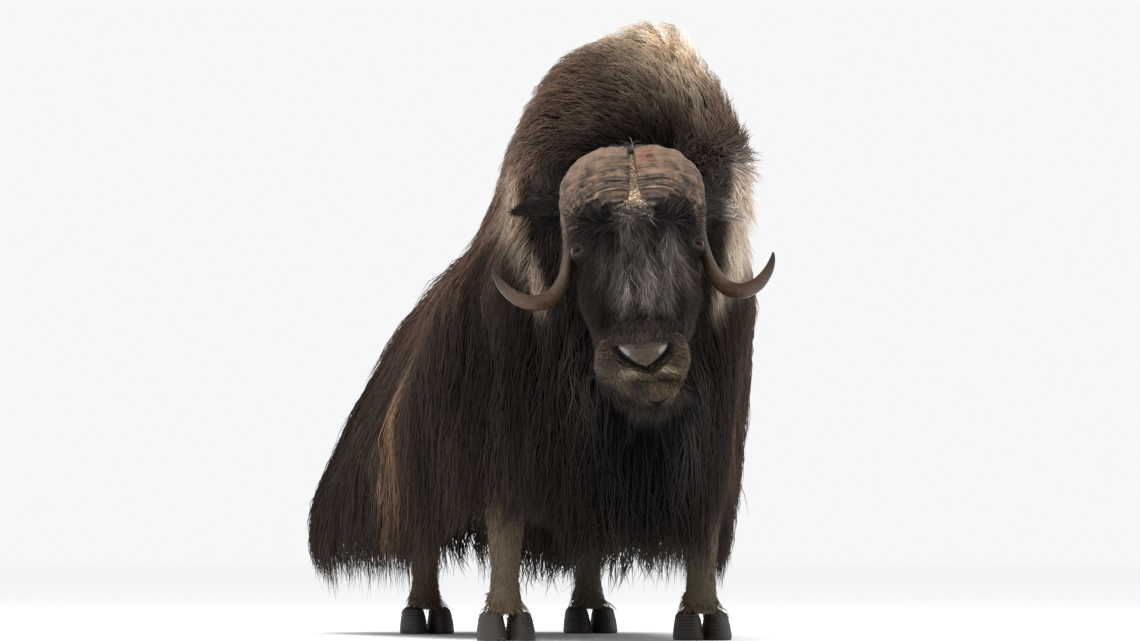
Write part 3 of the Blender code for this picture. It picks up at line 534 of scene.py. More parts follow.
def makeSkin():
    headPiece = loftObject("head_form", headGrid + bendOf(headGrid))
    for side in (1, -1):
        centre = Vector((eye["at"][0] * side, eye["at"][1], eye["at"][2]))
        gaze, turn = gazeMatrix(side)
        joined(headPiece, ball("socket", centre, (eye["radius"] + 0.0002,) * 3), "DIFFERENCE")
        ahead = centre + gaze * eye["openingAhead"]
        joined(headPiece, ball("opening", ahead, eye["opening"], turn, 48, 24), "DIFFERENCE")
        joined(headPiece, loftObject("ear_form", earGrid(side)))
    headPiece.data.transform(headMatrix)
    skin = loftObject("muskox_skin", skinGrid)
    joined(skin, headPiece)
    for kind in ("fore", "hind"):
        for side in (1, -1):
            joined(skin, loftObject("leg_form", legGrid(kind, side)))
            for sign in (-1, 1):
                claw = legs["dewclaw"]
                centre = (side * legs[kind]["x"] + sign * claw["x"], legs[kind]["y"] + claw["y"], claw["z"])
                joined(skin, ball("dewclaw", centre, claw["size"], None, 16, 12))
    joined(skin, loftObject("tail_form", tailGrid()))
    skin.data.shade_smooth()
    return skin


# Markings in the modelling coordinates: centre, radii, colour, strength; a few of them are painted shade. Later ones
# lie over earlier ones.
markings = {
    "ground": (0.032, 0.0205, 0.0155),
    "patches": (
        ("upperFlank", (0.00, 0.60, 0.95), (0.70, 0.75, 0.30), (0.098, 0.057, 0.042), 0.9),
        ("streak", (-0.42, 0.47, 0.47), (0.14, 0.052, 0.20), (0.200, 0.122, 0.072), 0.74),
        ("streakLow", (-0.42, 0.52, 0.36), (0.14, 0.040, 0.16), (0.170, 0.104, 0.062), 0.55),
        ("shoulderDark", (-0.22, -0.12, 0.60), (0.17, 0.20, 0.22), (0.007, 0.006, 0.005), 0.9),
        ("hindDark", (0.00, 1.15, 0.28), (0.60, 0.44, 0.24), (0.010, 0.0065, 0.0052), 0.8),
        ("leftSide", (0.36, -0.05, 0.55), (0.14, 0.35, 0.30), (0.080, 0.050, 0.038), 0.8),
        ("humpBrown", (0.00, -0.08, 1.16), (0.42, 0.36, 0.26), (0.200, 0.128, 0.092), 0.95),
        ("saddle", (0.00, 0.62, 1.05), (0.17, 0.30, 0.10), (0.330, 0.255, 0.175), 0.85),
        # black throat hair, and lower down painted shade between the front legs
        ("chestBlackHairAndShade", (-0.02, -0.34, 0.45), (0.26, 0.30, 0.36), (0.0040, 0.0036, 0.0034), 0.97),
        ("crest", (0.120, -0.16, 1.35), (0.160, 0.26, 0.15), (0.65, 0.50, 0.355), 0.97),
        ("rightHump", (0.30, -0.10, 1.22), (0.12, 0.30, 0.11), (0.125, 0.079, 0.057), 0.6),
        ("beardGrey", (0.12, -0.36, 0.47), (0.045, 0.14, 0.14), (0.054, 0.047, 0.044), 0.8),
        ("leftCurls", (0.20, -0.30, 0.98), (0.10, 0.12, 0.16), (0.050, 0.042, 0.038), 0.85),
        # painted shadow: the mane just behind the boss is darkened where the boss shades it
        ("shadowBehindBoss", (-0.03, -0.36, 1.12), (0.27, 0.20, 0.125), (0.011, 0.008, 0.007), 0.97),
        ("throatSides", (-0.16, -0.36, 0.88), (0.10, 0.14, 0.20), (0.012, 0.009, 0.008), 0.85),
    ),
}
faceMarkings = {
    "ground": (0.030, 0.024, 0.022),
    "patches": (
        ("cheekRight", (-0.115, 0.00, -0.12), (0.050, 0.10, 0.10), (0.016, 0.011, 0.009), 0.8),
        ("cheekLeft", (0.115, 0.00, -0.12), (0.050, 0.10, 0.10), (0.018, 0.012, 0.010), 0.8),
        ("faceGrey", (0.002, -0.04, -0.055), (0.070, 0.20, 0.125), (0.120, 0.102, 0.096), 0.9),
        ("eyeDarkRight", (-0.095, -0.03, 0.045), (0.042, 0.09, 0.060), (0.013, 0.0105, 0.0105), 0.95),
        ("eyeDarkLeft", (0.095, -0.03, 0.045), (0.042, 0.09, 0.060), (0.013, 0.0105, 0.0105), 0.95),
        # painted shade in the fold across the nose
        ("foldShade", (0.000, -0.06, -0.180), (0.080, 0.10, 0.014), (0.020, 0.015, 0.013), 0.8),
        ("noseBridge", (0.000, -0.07, -0.215), (0.060, 0.06, 0.020), (0.062, 0.044, 0.034), 0.8),
        ("muzzleTan", (0.000, -0.04, -0.315), (0.130, 0.12, 0.045), (0.084, 0.057, 0.030), 0.9),
        ("chinTan", (0.030, -0.05, -0.338), (0.048, 0.05, 0.014), (0.078, 0.048, 0.023), 0.8),
        ("upperLipRight", (-0.048, -0.07, -0.308), (0.020, 0.05, 0.009), (0.300, 0.235, 0.170), 0.85),
        ("upperLipLeft", (0.042, -0.07, -0.304), (0.020, 0.05, 0.009), (0.300, 0.240, 0.175), 0.85),
        # painted shade along the mouth crease
        ("mouthShade", (0.030, -0.07, -0.328), (0.040, 0.05, 0.006), (0.016, 0.010, 0.004), 0.85),
        # painted shade under the chin
        ("chinUnderShade", (-0.060, -0.03, -0.340), (0.045, 0.08, 0.022), (0.012, 0.009, 0.007), 0.9),
        ("wingRight", (-0.095, -0.03, -0.250), (0.035, 0.06, 0.040), (0.090, 0.058, 0.038), 0.8),
        ("wingLeft", (0.095, -0.03, -0.250), (0.035, 0.06, 0.040), (0.120, 0.078, 0.052), 0.8),
    ),
}
# Pale stockings of the legs, painted darker to stand in for the shade of the coat hanging over them.
stockingInCoatShade = (0.140, 0.101, 0.064)


# Pale edges of the ruff, in a slanted coordinate across the neck: height, outer edge, inner edge
ruff = {
    "slant": (0.974, -0.225),
    "right": ((0.69, -0.131, -0.101), (0.76, -0.151, -0.120), (0.82, -0.181, -0.138), (0.90, -0.222, -0.169),
              (0.94, -0.262, -0.176), (0.98, -0.320, -0.186), (1.03, -0.400, -0.196), (1.12, -0.400, -0.206)),
    "left": ((0.70, 0.262, 0.244), (0.74, 0.270, 0.250), (0.775, 0.290, 0.258), (0.80, 0.315, 0.272),
             (0.86, 0.350, 0.280), (0.92, 0.390, 0.288), (0.98, 0.450, 0.292), (1.06, 0.450, 0.296),
             (1.12, 0.450, 0.300)),
    "ends": (0.690, 0.760, 1.000, 1.110), "backY": (0.050, -0.210), "soft": 0.012,
    "colours": {"right": (0.33, 0.255, 0.195), "left": (0.72, 0.585, 0.47)},
}


# Uneven edges for the markings: slow waves shift the places at which they are read.
def uneven(points):
    x, y, z = points[..., 0], points[..., 1], points[..., 2]
    along = np.sin(31 * y + 9 * z + 4 * x) + 0.6 * np.sin(67 * y - 13 * z + 11 * x + 1.3)
    up = np.sin(37 * y + 23 * x + 2.1) + 0.7 * np.sin(83 * y + 41 * x)
    return points + np.stack([0.006 * along, 0.018 * along, 0.022 * up], axis=-1)


def paintRuff(points, colour):
    across = points[..., 0] * ruff["slant"][0] + points[..., 1] * ruff["slant"][1]
    loose = uneven(points)
    z = points[..., 2]
    low, full, fade, top = ruff["ends"]
    strength = smoothStep(low, full, z) * smoothStep(top, fade, loose[..., 2])
    strength = strength * smoothStep(*ruff["backY"], loose[..., 1])
    for side in ("right", "left"):
        rows = np.array(ruff[side])
        outer, inner = np.interp(z, rows[:, 0], rows[:, 1]), np.interp(z, rows[:, 0], rows[:, 2])
        sign = np.sign(inner - outer)
        inside = smoothStep(-2.0 * ruff["soft"], 2.0 * ruff["soft"], (across - outer) * sign)
        inside = inside * smoothStep(-ruff["soft"], ruff["soft"], (inner - across) * sign)
        colour = mix(colour, np.array(ruff["colours"][side]), (inside * strength * 0.92)[..., None])
    return colour


def paintPatches(points, table):
    colour = np.tile(np.array(table["ground"]), points.shape[:-1] + (1,))
    for name, centre, radii, tint, strength in table["patches"]:
        away = (((points - np.array(centre)) / np.array(radii)) ** 2).sum(axis=-1)
        weight = strength * np.exp(-(away ** 1.5))[..., None]
        colour = mix(colour, np.array(tint), weight)
    return colour


# The same markings for skin and coat, by the point's place on the animal.
def furColour(points, onSkin=False):
    colour = paintRuff(points, paintPatches(uneven(points), markings))
    inHead = modelToHead(points)
    onHead = smoothStep(-0.02, 0.03, 0.140 - inHead[..., 1]) * smoothStep(-0.42, -0.36, inHead[..., 2])
    onHead = onHead * smoothStep(0.26, 0.20, inHead[..., 2] + 0 * inHead[..., 0])
    onHead = onHead * smoothStep(0.21, 0.16, np.abs(inHead[..., 0]))
    colour = mix(colour, paintPatches(inHead, faceMarkings), onHead[..., None])
    if onSkin:
        onEar = (np.abs(inHead[..., 0]) > 0.13) & (np.abs(inHead[..., 1] - 0.11) < 0.05) & (np.abs(inHead[..., 2] - 0.125) < 0.07)
        colour = np.where(onEar[..., None], np.array([0.012, 0.009, 0.008]), colour)
    if not onSkin:
        return colour
    # the lower legs take the stocking colour, with the coat's shade painted in
    stocking = smoothStep(0.40, 0.30, points[..., 2]) * insideLeg(points)
    return mix(colour, np.array(stockingInCoatShade), stocking[..., None])


# The skin shows the fur's markings darker, with a bare nose pad, lips and lids of their own; the pad's corners carry
# painted highlights, and the nostril band, mouth and philtrum painted shade.
bare = {"pad": (0.044, 0.031, 0.019), "padSide": (0.058, 0.046, 0.038), "padHighlight": (0.200, 0.170, 0.146), "flat": 0.3, "mouth": (0.020, 0.014, 0.012),
        "nostril": (0.006, 0.0045, 0.004), "lid": (0.046, 0.033, 0.027)}


# How far out from the lid's opening a point lies: 1 on its edge, 0 where it's behind the eye.
def lidRim(inHead, side):
    turn = np.array(gazeMatrix(side)[1])
    local = (inHead - np.array(eye["at"]) * [side, 1, 1]) @ turn
    rim = np.hypot(local[:, 0] / eye["opening"][0], local[:, 1] / eye["opening"][1])
    return np.where((local[:, 2] > 0.004) & (local[:, 2] < 0.035), rim, 0.0)


def skinColour(points):
    colour = furColour(points, True) * 0.6
    p = modelToHead(points)
    near = (np.abs(p[:, 0]) < 0.16) & (np.abs(p[:, 2]) < 0.40) & (p[:, 1] < 0.12)
    inHead, tint = p[near], colour[near]
    pad = padMask(inHead)
    mottled = np.zeros(len(pad))
    onPad = pad > 0
    mottled[onPad] = [noise.fractal(Vector(q) * 150.0, 0.6, 2.0, 3) for q in inHead[onPad]]
    padTint = mix(np.array(bare["pad"]), np.array(bare["padSide"]), smoothStep(0.008, 0.030, np.abs(inHead[:, 0]))[:, None])
    tint = mix(tint, padTint * (1 + 0.45 * mottled)[:, None], pad[:, None])
    for side in (1, -1):
        # painted highlight: pale patches at the pad's corners stand in for the glint on the wet nose
        away, radius = lineDistance(inHead, "padCorner", side, bare["flat"])
        rim = smoothStep(radius * 2.3, radius * 0.8, away) * smoothStep(0.0, 0.3, padMask(inHead))
        tint = mix(tint, np.array(bare["padHighlight"]), rim[:, None] * 0.9)
        # painted shade: the nostril band, mouth line and philtrum are darkened where their grooves lie in shade
        for name, part in (("nostril", "nostril"), ("mouth", "mouth"), ("philtrum", "mouth")):
            away, radius = lineDistance(inHead, name, side, bare["flat"])
            dark = smoothStep(radius * 1.42, radius * 1.12, away)
            tint = mix(tint, np.array(bare[part]), dark[:, None])
        rim = lidRim(inHead, side)
        tint = mix(tint, np.array(bare["lid"]), (smoothStep(1.30, 1.12, rim) * (rim > 0))[:, None])
    colour[near] = tint
    return colour


def insideLeg(points):
    found = np.zeros(points.shape[:-1])
    for kind in ("fore", "hind"):
        for side in (1, -1):
            away = np.hypot(points[..., 0] - side * legs[kind]["x"], points[..., 1] - legs[kind]["y"] - 0.01)
            found = np.maximum(found, smoothStep(0.110, 0.080, away))
    return found


def setColours(mesh, colours):
    layer = mesh.color_attributes.new("fur", "FLOAT_COLOR", "POINT")
    full = np.ones((len(mesh.vertices), 4), np.float32)
    full[:, :3] = colours
    layer.data.foreach_set("color", full.ravel())


# Direction in which the hair lies on the body.
lie = {
    "crown": (-0.060, 1.020), "humpBack": 0.160, "humpZ": (1.000, 1.120), "humpBackY": (0.150, 0.350),
    "flank": (0.000, 0.170, -1.000), "spread": 0.15,
    "back": (0.0, 2.400, -0.600), "parting": 1.8, "backLevel": 0.6,
    "strayScale": 5.0, "stray": 0.20, "humpStray": 0.36,
}


def humpShare(point):
    risen = float(smoothStep(*lie["humpZ"], point.z))
    return risen * (1 - float(smoothStep(*lie["humpBackY"], point.y)))


def lieOfHair(point, normal):
    outward = Vector((normal.x, normal.y, 0.0)) * lie["spread"]
    back = (Vector(lie["back"]) + Vector((lie["parting"] * point.x, 0, 0))) * max(normal.z - lie["backLevel"], 0.0)
    hump = humpShare(point)
    round = Vector((lie["crown"][1] - point.z, lie["humpBack"], point.x - lie["crown"][0])).normalized()
    way = (Vector(lie["flank"]) + outward + back).lerp(round, hump)
    way += noise.noise_vector(point * lie["strayScale"]) * (lie["stray"] + (lie["humpStray"] - lie["stray"]) * hump)
    way -= normal * way.dot(normal)
    return way.normalized()


tipTree, tipSign = bvhOfGrid(tipGrid)


# Roots spread evenly over a grid of rings, with the place of each on the unwrapped skin.
def evenRoots(grid, spacing, keep):
    rows = np.linalg.norm(np.diff(grid, axis=0), axis=2).mean(axis=1)
    along = np.concatenate([[0], np.cumsum(rows)])
    roots = []
    for distance in np.arange(0, along[-1], spacing):
        place = np.interp(distance + rng.uniform(-0.4, 0.4) * spacing, along, np.arange(len(along)))
        low = min(int(place), grid.shape[0] - 2)
        ring = mix(grid[low], grid[low + 1], place - low)
        closed = np.concatenate([ring, ring[:1]])
        steps = np.concatenate([[0], np.cumsum(np.linalg.norm(np.diff(closed, axis=0), axis=1))])
        count = max(int(steps[-1] / spacing), 1)
        at = (np.arange(count) + rng.uniform(0, 1, count)) / count * steps[-1]
        points = np.stack([np.interp(at, steps, closed[:, k]) for k in range(3)], axis=1)
        for point, share in zip(points, at / steps[-1]):
            if keep(point):
                roots.append((point, share, distance / along[-1]))
    return roots


# Guides: paths over the coat's outer surface, from the skin to the tip.
guideSteps = 9


def marchGuide(root, length, sink):
    near, normal, index, away = tipTree.find_nearest(Vector(root))
    normal = normal * tipSign
    point = near.copy()
    path, facing = [], []
    start = Vector(root) - near
    step = length / (guideSteps - 1)
    for k in range(guideSteps):
        if k:
            way = lieOfHair(point, normal)
            ahead = point + way * step
            found = tipTree.find_nearest(ahead)
            if found[1].z * tipSign < -0.5:
                point = ahead + Vector((0, 0, -0.2 * step))
            else:
                point = found[0]
                normal = found[1] * tipSign
        rise = float(smoothStep(0.0, 0.55, k / (guideSteps - 1)))
        path.append(point + start * (1 - rise) - normal * (sink * rise))
        facing.append(normal.copy())
    return path, facing


# Strands copied from guides: each follows its guide, drawn in towards its tip, with waves and frizz.
def growStrands(paths, normals, style):
    count = style["strands"]
    guides = len(paths)
    rings = style["rings"]
    tangent = unit(np.gradient(paths, axis=1))
    side = unit(np.cross(tangent, normals))
    length = np.linalg.norm(np.diff(paths, axis=1), axis=2).sum(axis=1)
    q = np.linspace(0, 1, rings)
    begin = rng.uniform(0, style["stagger"], (guides, count))
    end = rng.uniform(style["shortest"], 1.0, (guides, count))
    place = (begin[..., None] + (end - begin)[..., None] * q) * (guideSteps - 1)
    low = np.minimum(place.astype(int), guideSteps - 2)
    share = (place - low)[..., None]
    rows = np.arange(guides)[:, None, None]

    def along(values):
        return values[rows, low] * (1 - share) + values[rows, low + 1] * share

    centre, across, out = along(paths), unit(along(side)), unit(along(normals))
    width = style["spread"]
    lateral = rng.uniform(-1, 1, (guides, count))[..., None]
    gather = 1 - style["clump"] * smoothStep(0.1, 1.0, q)
    wave = style["wave"] * np.sin(2 * math.pi * q * length[:, None, None] / style["waveLength"]
                                  + rng.uniform(0, 6.3, (guides, 1, 1)) + rng.normal(0, 0.5, (guides, count, 1)))
    frizz = style["frizz"] * np.sin(2 * math.pi * q * rng.uniform(1.0, 3.0, (guides, count, 1))
                                    + rng.uniform(0, 6.3, (guides, count, 1)))
    lift = style["frizz"] * np.sin(2 * math.pi * q * rng.uniform(1.0, 2.5, (guides, count, 1))
                                   + rng.uniform(0, 6.3, (guides, count, 1)))
    depth = -rng.uniform(0, 1, (guides, count))[..., None] ** 1.5 * style["depth"] * smoothStep(0.0, 0.5, q)
    stray = (rng.uniform(0, 1, (guides, count, 1)) > 0.93) * rng.normal(0, style["strayTip"], (guides, count, 1))
    sideways = lateral * width * gather + (wave + frizz) * smoothStep(0.0, 0.35, q) + stray * q ** 2
    outward = depth + lift * q + np.abs(stray) * 0.5 * q ** 2 + style["fluff"] * smoothStep(0.4, 1.0, q)
    points = centre + across * sideways[..., None] + out * outward[..., None]
    points[..., 2] = np.maximum(points[..., 2], 0.012)
    return points.reshape(-1, rings, 3), across.reshape(-1, rings, 3)


ringAngles = np.radians([90.0, 210.0, 330.0])


def strandTemplate(rings):
    faces, uvs = [], []
    for ring in range(rings - 2):
        for j in range(3):
            n = (j + 1) % 3
            a, b, c, d = ring * 3 + j, ring * 3 + n, ring * 3 + 3 + n, ring * 3 + 3 + j
            low, high = ring / (rings - 1), (ring + 1) / (rings - 1)
            faces += [(a, b, c), (a, c, d)]
            uvs += [((j / 3, low), ((j + 1) / 3, low), ((j + 1) / 3, high)),
                    ((j / 3, low), ((j + 1) / 3, high), (j / 3, high))]
    base = (rings - 2) * 3
    for j in range(3):
        low = (rings - 2) / (rings - 1)
        faces.append((base + j, base + (j + 1) % 3, base + 3))
        uvs.append(((j / 3, low), ((j + 1) / 3, low), ((j + 0.5) / 3, 1.0)))
    faces.append((2, 1, 0))
    uvs.append(((1.0, 0.0), (0.5, 0.0), (0.0, 0.0)))
    return np.array(faces), np.array(uvs)


def coatPiece(name, points, across, radius, colours, places, material, slotName):
    strands, rings = points.shape[:2]
    tangent = unit(np.gradient(points, axis=1))
    side = unit(across - tangent * (across * tangent).sum(axis=-1, keepdims=True))
    up = np.cross(side, tangent)
    profile = np.interp(np.linspace(0, 1, rings), [0, 0.25, 0.6, 0.85, 1.0], [0.75, 1.0, 0.85, 0.5, 0.0])
    size = radius[:, None] * profile
    corners = []
    for angle in ringAngles:
        offset = side * math.cos(angle) + up * (math.sin(angle) * 0.7)
        corners.append(points + offset * size[..., None])
    corners = np.stack(corners, axis=2)
    vertices = np.concatenate([corners[:, :-1].reshape(strands, -1, 3), points[:, -1:]], axis=1)
    perStrand = vertices.shape[1]
    faces, uvs = strandTemplate(rings)
    index = (np.arange(strands)[:, None, None] * perStrand + faces).astype(np.int32)
    mesh = bpy.data.meshes.new(name)
    mesh.vertices.add(strands * perStrand)
    mesh.vertices.foreach_set("co", (vertices.reshape(-1, 3) + np.array(toFrame)).astype(np.float32).ravel())
    mesh.loops.add(index.size)
    mesh.loops.foreach_set("vertex_index", index.ravel())
    mesh.polygons.add(strands * len(faces))
    mesh.polygons.foreach_set("loop_start", np.arange(0, index.size, 3, dtype=np.int32))
    mesh.update(calc_edges=True)
    bake = mesh.uv_layers.new(name="OFBake")
    patch = places[:, None, None, :] + uvs * bakePatch
    bake.data.foreach_set("uv", patch.astype(np.float32).ravel())
    ringColour = np.repeat(colours[:, :-1], 3, axis=1)
    setColours(mesh, np.concatenate([ringColour, colours[:, -1:]], axis=1).reshape(-1, 3))
    mesh.shade_smooth()
    mesh.materials.append(material)
    piece = bpy.data.objects.new(name, mesh)
    bpy.context.scene.collection.objects.link(piece)
    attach(piece, "root")
    return piece


bakePatch = 0.003
bakeCharts = {"body": (0.01, 0.01, 0.60, 0.98), "head": (0.63, 0.50, 0.36, 0.49),
              "legs": (0.63, 0.01, 0.36, 0.20), "ears": (0.63, 0.23, 0.17, 0.22), "tail": (0.82, 0.23, 0.17, 0.22)}


def bakePlace(chart, shares):
    left, low, width, height = bakeCharts[chart]
    return np.array([left, low]) + shares * [width, height]


# Colour along each strand: dark at the skin, lighter at the tip, each strand and lock a little different; the lighter
# tips are partly the hair's own tone and partly a painted rim light.
def strandColours(points, guides, style, painter=furColour):
    strands, rings = points.shape[:2]
    base = painter(points)
    q = np.linspace(0, 1, rings)[None, :, None]
    perLock = np.repeat(rng.normal(0, style["lockTone"], guides), strands // guides)[:, None, None]
    perStrand = rng.normal(0, style["strandTone"], (strands, 1, 1))
    tone = np.exp(perLock + perStrand) * mix(style["rootTone"], style["tipTone"], q)
    warm = np.repeat(rng.normal(0, style["warmth"], guides), strands // guides)[:, None, None]
    tint = np.concatenate([1 + warm, np.ones_like(warm), 1 - warm], axis=2)
    return np.clip(base * tone * tint, 0.002, 0.95)


styles = {
    "flank": {"strands": 10, "rings": 5, "stagger": 0.25, "shortest": 0.66, "spread": 0.028, "clump": 0.50,
              "wave": 0.009, "waveLength": 0.15, "frizz": 0.005, "depth": 0.026, "strayTip": 0.014, "fluff": 0.0,
              "radius": 0.0018, "lockTone": 0.17, "strandTone": 0.17, "rootTone": 0.72, "tipTone": 1.18,
              "warmth": 0.05, "spacing": 0.0355},
    "hump": {"strands": 11, "rings": 5, "stagger": 0.25, "shortest": 0.60, "spread": 0.017, "clump": 0.38,
             "wave": 0.004, "waveLength": 0.07, "frizz": 0.0040, "depth": 0.018, "strayTip": 0.010, "fluff": 0.005,
             "radius": 0.0013, "lockTone": 0.10, "strandTone": 0.16, "rootTone": 0.62, "tipTone": 1.22,
             "warmth": 0.04, "spacing": 0.0206},
}
# Soft shifts that bring the coat's outline to the photograph's: centre, radii, shift
fits = {
    "ruffRight": ((-0.33, -0.12, 0.965), (0.12, 0.30, 0.090), (0.040, 0.0, 0.0)),
    "ruffLeft": ((0.34, -0.12, 0.960), (0.12, 0.30, 0.110), (-0.044, 0.0, 0.0)),
    "throatLeft": ((0.34, -0.10, 0.735), (0.12, 0.30, 0.060), (0.017, 0.0, 0.0)),
    "throatRight": ((-0.36, -0.02, 0.770), (0.12, 0.35, 0.060), (-0.020, 0.0, 0.0)),
    "crestRight": ((-0.05, -0.10, 1.390), (0.100, 0.30, 0.080), (0.024, 0.0, -0.026)),
    "crestLeft": ((0.22, -0.10, 1.330), (0.080, 0.30, 0.075), (-0.036, 0.0, -0.014)),
    "sideLeft": ((0.36, -0.10, 1.190), (0.110, 0.30, 0.090), (-0.030, 0.0, 0.0)),
    "hindRight": ((-0.50, 1.05, 0.220), (0.150, 0.30, 0.100), (-0.022, 0.0, 0.0)),
}
hems = {"front": 0.120, "overLeg": 0.290, "legX": (0.150, 0.195), "legY": (0.060, 0.160), "ragged": 0.036}


def fitted(points):
    moved = points.copy()
    for centre, radii, shift in fits.values():
        away = (((points - np.array(centre)) / np.array(radii)) ** 2).sum(axis=-1)
        moved += np.exp(-away)[..., None] * np.array(shift)
    return moved


# Height at which the coat ends: it hangs low between and behind the front legs, and higher over them.
def hemHeight(points):
    ys = np.array([row[0] for row in coat["sections"]])
    low = np.interp(points[..., 1], ys, [row[5] for row in coat["sections"]])
    overLeg = smoothStep(*hems["legX"], np.abs(points[..., 0])) * smoothStep(hems["legY"][1], hems["legY"][0], points[..., 1])
    return mix(low, np.maximum(low, hems["overLeg"]), overLeg)


# Guides that pass the hem are drawn up so that they end there.
def trimGuides(paths, facings):
    hem = hemHeight(paths) + rng.uniform(-1, 1, (len(paths), 1)) * hems["ragged"]
    below = paths[..., 2] < hem
    first = np.where(below.any(axis=1), below.argmax(axis=1), guideSteps - 1)
    end = np.maximum(first, 2) / (guideSteps - 1)
    place = np.linspace(0, 1, guideSteps)[None, :] * end[:, None] * (guideSteps - 1)
    low = np.minimum(place.astype(int), guideSteps - 2)
    share = (place - low)[..., None]
    rows = np.arange(len(paths))[:, None]
    return (paths[rows, low] * (1 - share) + paths[rows, low + 1] * share,
            unit(facings[rows, low] * (1 - share) + facings[rows, low + 1] * share))


def flankLength(point):
    hump = humpShare(Vector(point))
    back = float(smoothStep(0.88, 1.00, point[2])) * (1 - hump)
    ruff = float(smoothStep(-0.05, -0.20, point[1])) * float(smoothStep(0.70, 0.85, point[2]))
    length = mix(0.40, 0.24, back)
    length = mix(length, 0.17, ruff)
    length = mix(length, 0.115, hump)
    return min(length, max(point[2] - 0.10, 0.06))


def inHeadCore(point):
    x, y, z = modelToHead(np.array(point))
    return y < 0.125 and abs(x) < 0.125 and -0.34 < z < 0.19


def growZone(zone, keep):
    style = styles[zone]
    roots = evenRoots(skinGrid, style["spacing"], keep)
    paths, facings, places = [], [], []
    for point, share, back in roots:
        path, facing = marchGuide(point, flankLength(point) * rng.uniform(0.85, 1.12), rng.uniform(0, 0.012))
        paths.append(path)
        facings.append(facing)
        places.append((share, back))
    paths, facings = trimGuides(np.array(paths), np.array(facings))
    points, across = growStrands(paths, facings, style)
    points = fitted(points)
    inHead = modelToHead(points)
    hides = (inHead[..., 0] < -0.150) & (inHead[..., 0] > -0.300) & (np.abs(inHead[..., 2] - 0.130) < 0.034)
    shown = ~(hides & (inHead[..., 1] < 0.145)).any(axis=1)
    places = np.repeat(bakePlace("body", np.array(places)), style["strands"], axis=0)
    band = np.array([noise.fractal(Vector((p[0] * 9, p[1] * 9, p[2] * 2.5)), 0.6, 2.0, 3) for p in paths[:, 3]])
    band = np.repeat(band, style["strands"])[:, None, None]
    colours = np.clip(strandColours(points, len(roots), style) * np.exp(0.65 * band), 0.002, 0.95)
    radius = style["radius"] * rng.uniform(0.7, 1.3, len(points))
    return points[shown], across[shown], radius[shown], colours[shown], places[shown]


def makePieces(label, strands, material, slotName, most=6900):
    points = strands[0]
    order = np.argsort(points[:, 0, 1] + 10 * (points[:, 0, 0] > 0))
    triangles = (points.shape[1] - 2) * 6 + 4
    share = int(195000 / triangles)
    for k, start in enumerate(range(0, len(order), share)):
        chosen = order[start:start + share]
        coatPiece(f"{label}_{k + 1}", *[values[chosen] for values in strands], material, slotName)
    print(label, len(order), "strands,", len(order) * triangles, "triangles")
    return len(order) * triangles


# hair material: the markings come with the mesh, fine variation from noise
def furGroup():
    group = bpy.data.node_groups.new("furTone", "ShaderNodeTree")
    group.interface.new_socket("Marking", in_out="INPUT", socket_type="NodeSocketColor")
    scale = group.interface.new_socket("Scale", in_out="INPUT", socket_type="NodeSocketFloat")
    scale.default_value = 120.0
    amount = group.interface.new_socket("Amount", in_out="INPUT", socket_type="NodeSocketFloat")
    amount.default_value = 0.3
    group.interface.new_socket("Colour", in_out="OUTPUT", socket_type="NodeSocketColor")
    group.interface.new_socket("Rough", in_out="OUTPUT", socket_type="NodeSocketFloat")
    nodes, links = group.nodes, group.links
    inside, outside = nodes.new("NodeGroupInput"), nodes.new("NodeGroupOutput")
    where, grain = nodes.new("ShaderNodeTexCoord"), nodes.new("ShaderNodeTexNoise")
    spread = nodes.new("ShaderNodeMapRange")
    spread.inputs["From Min"].default_value = 0.25
    spread.inputs["From Max"].default_value = 0.75
    low, high, scaled = nodes.new("ShaderNodeMath"), nodes.new("ShaderNodeMath"), nodes.new("ShaderNodeVectorMath")
    low.operation, high.operation, scaled.operation = "SUBTRACT", "ADD", "SCALE"
    low.inputs[0].default_value = high.inputs[0].default_value = 1.0
    links.new(where.outputs["Object"], grain.inputs["Vector"])
    links.new(inside.outputs["Scale"], grain.inputs["Scale"])
    links.new(grain.outputs["Fac"], spread.inputs["Value"])
    links.new(inside.outputs["Amount"], low.inputs[1])
    links.new(inside.outputs["Amount"], high.inputs[1])
    links.new(low.outputs[0], spread.inputs["To Min"])
    links.new(high.outputs[0], spread.inputs["To Max"])
    links.new(inside.outputs["Marking"], scaled.inputs[0])
    links.new(spread.outputs["Result"], scaled.inputs["Scale"])
    links.new(scaled.outputs["Vector"], outside.inputs["Colour"])
    rough = nodes.new("ShaderNodeMapRange")
    rough.inputs["To Min"].default_value = 0.50
    rough.inputs["To Max"].default_value = 0.72
    links.new(grain.outputs["Fac"], rough.inputs["Value"])
    links.new(rough.outputs["Result"], outside.inputs["Rough"])
    return group


def newMaterial(name):
    material = bpy.data.materials.new(name)
    material.use_nodes = True
    return material, material.node_tree.nodes, material.node_tree.links, material.node_tree.nodes["Principled BSDF"]


def furMaterial(name, group, scale, amount, specular):
    material, nodes, links, shader = newMaterial(name)
    marking, tone = nodes.new("ShaderNodeAttribute"), nodes.new("ShaderNodeGroup")
    marking.attribute_name = "fur"
    tone.node_tree = group
    tone.inputs["Scale"].default_value = scale
    tone.inputs["Amount"].default_value = amount
    links.new(marking.outputs["Color"], tone.inputs["Marking"])
    links.new(tone.outputs["Colour"], shader.inputs["Base Color"])
    links.new(tone.outputs["Rough"], shader.inputs["Roughness"])
    shader.inputs["Specular IOR Level"].default_value = specular
    return material


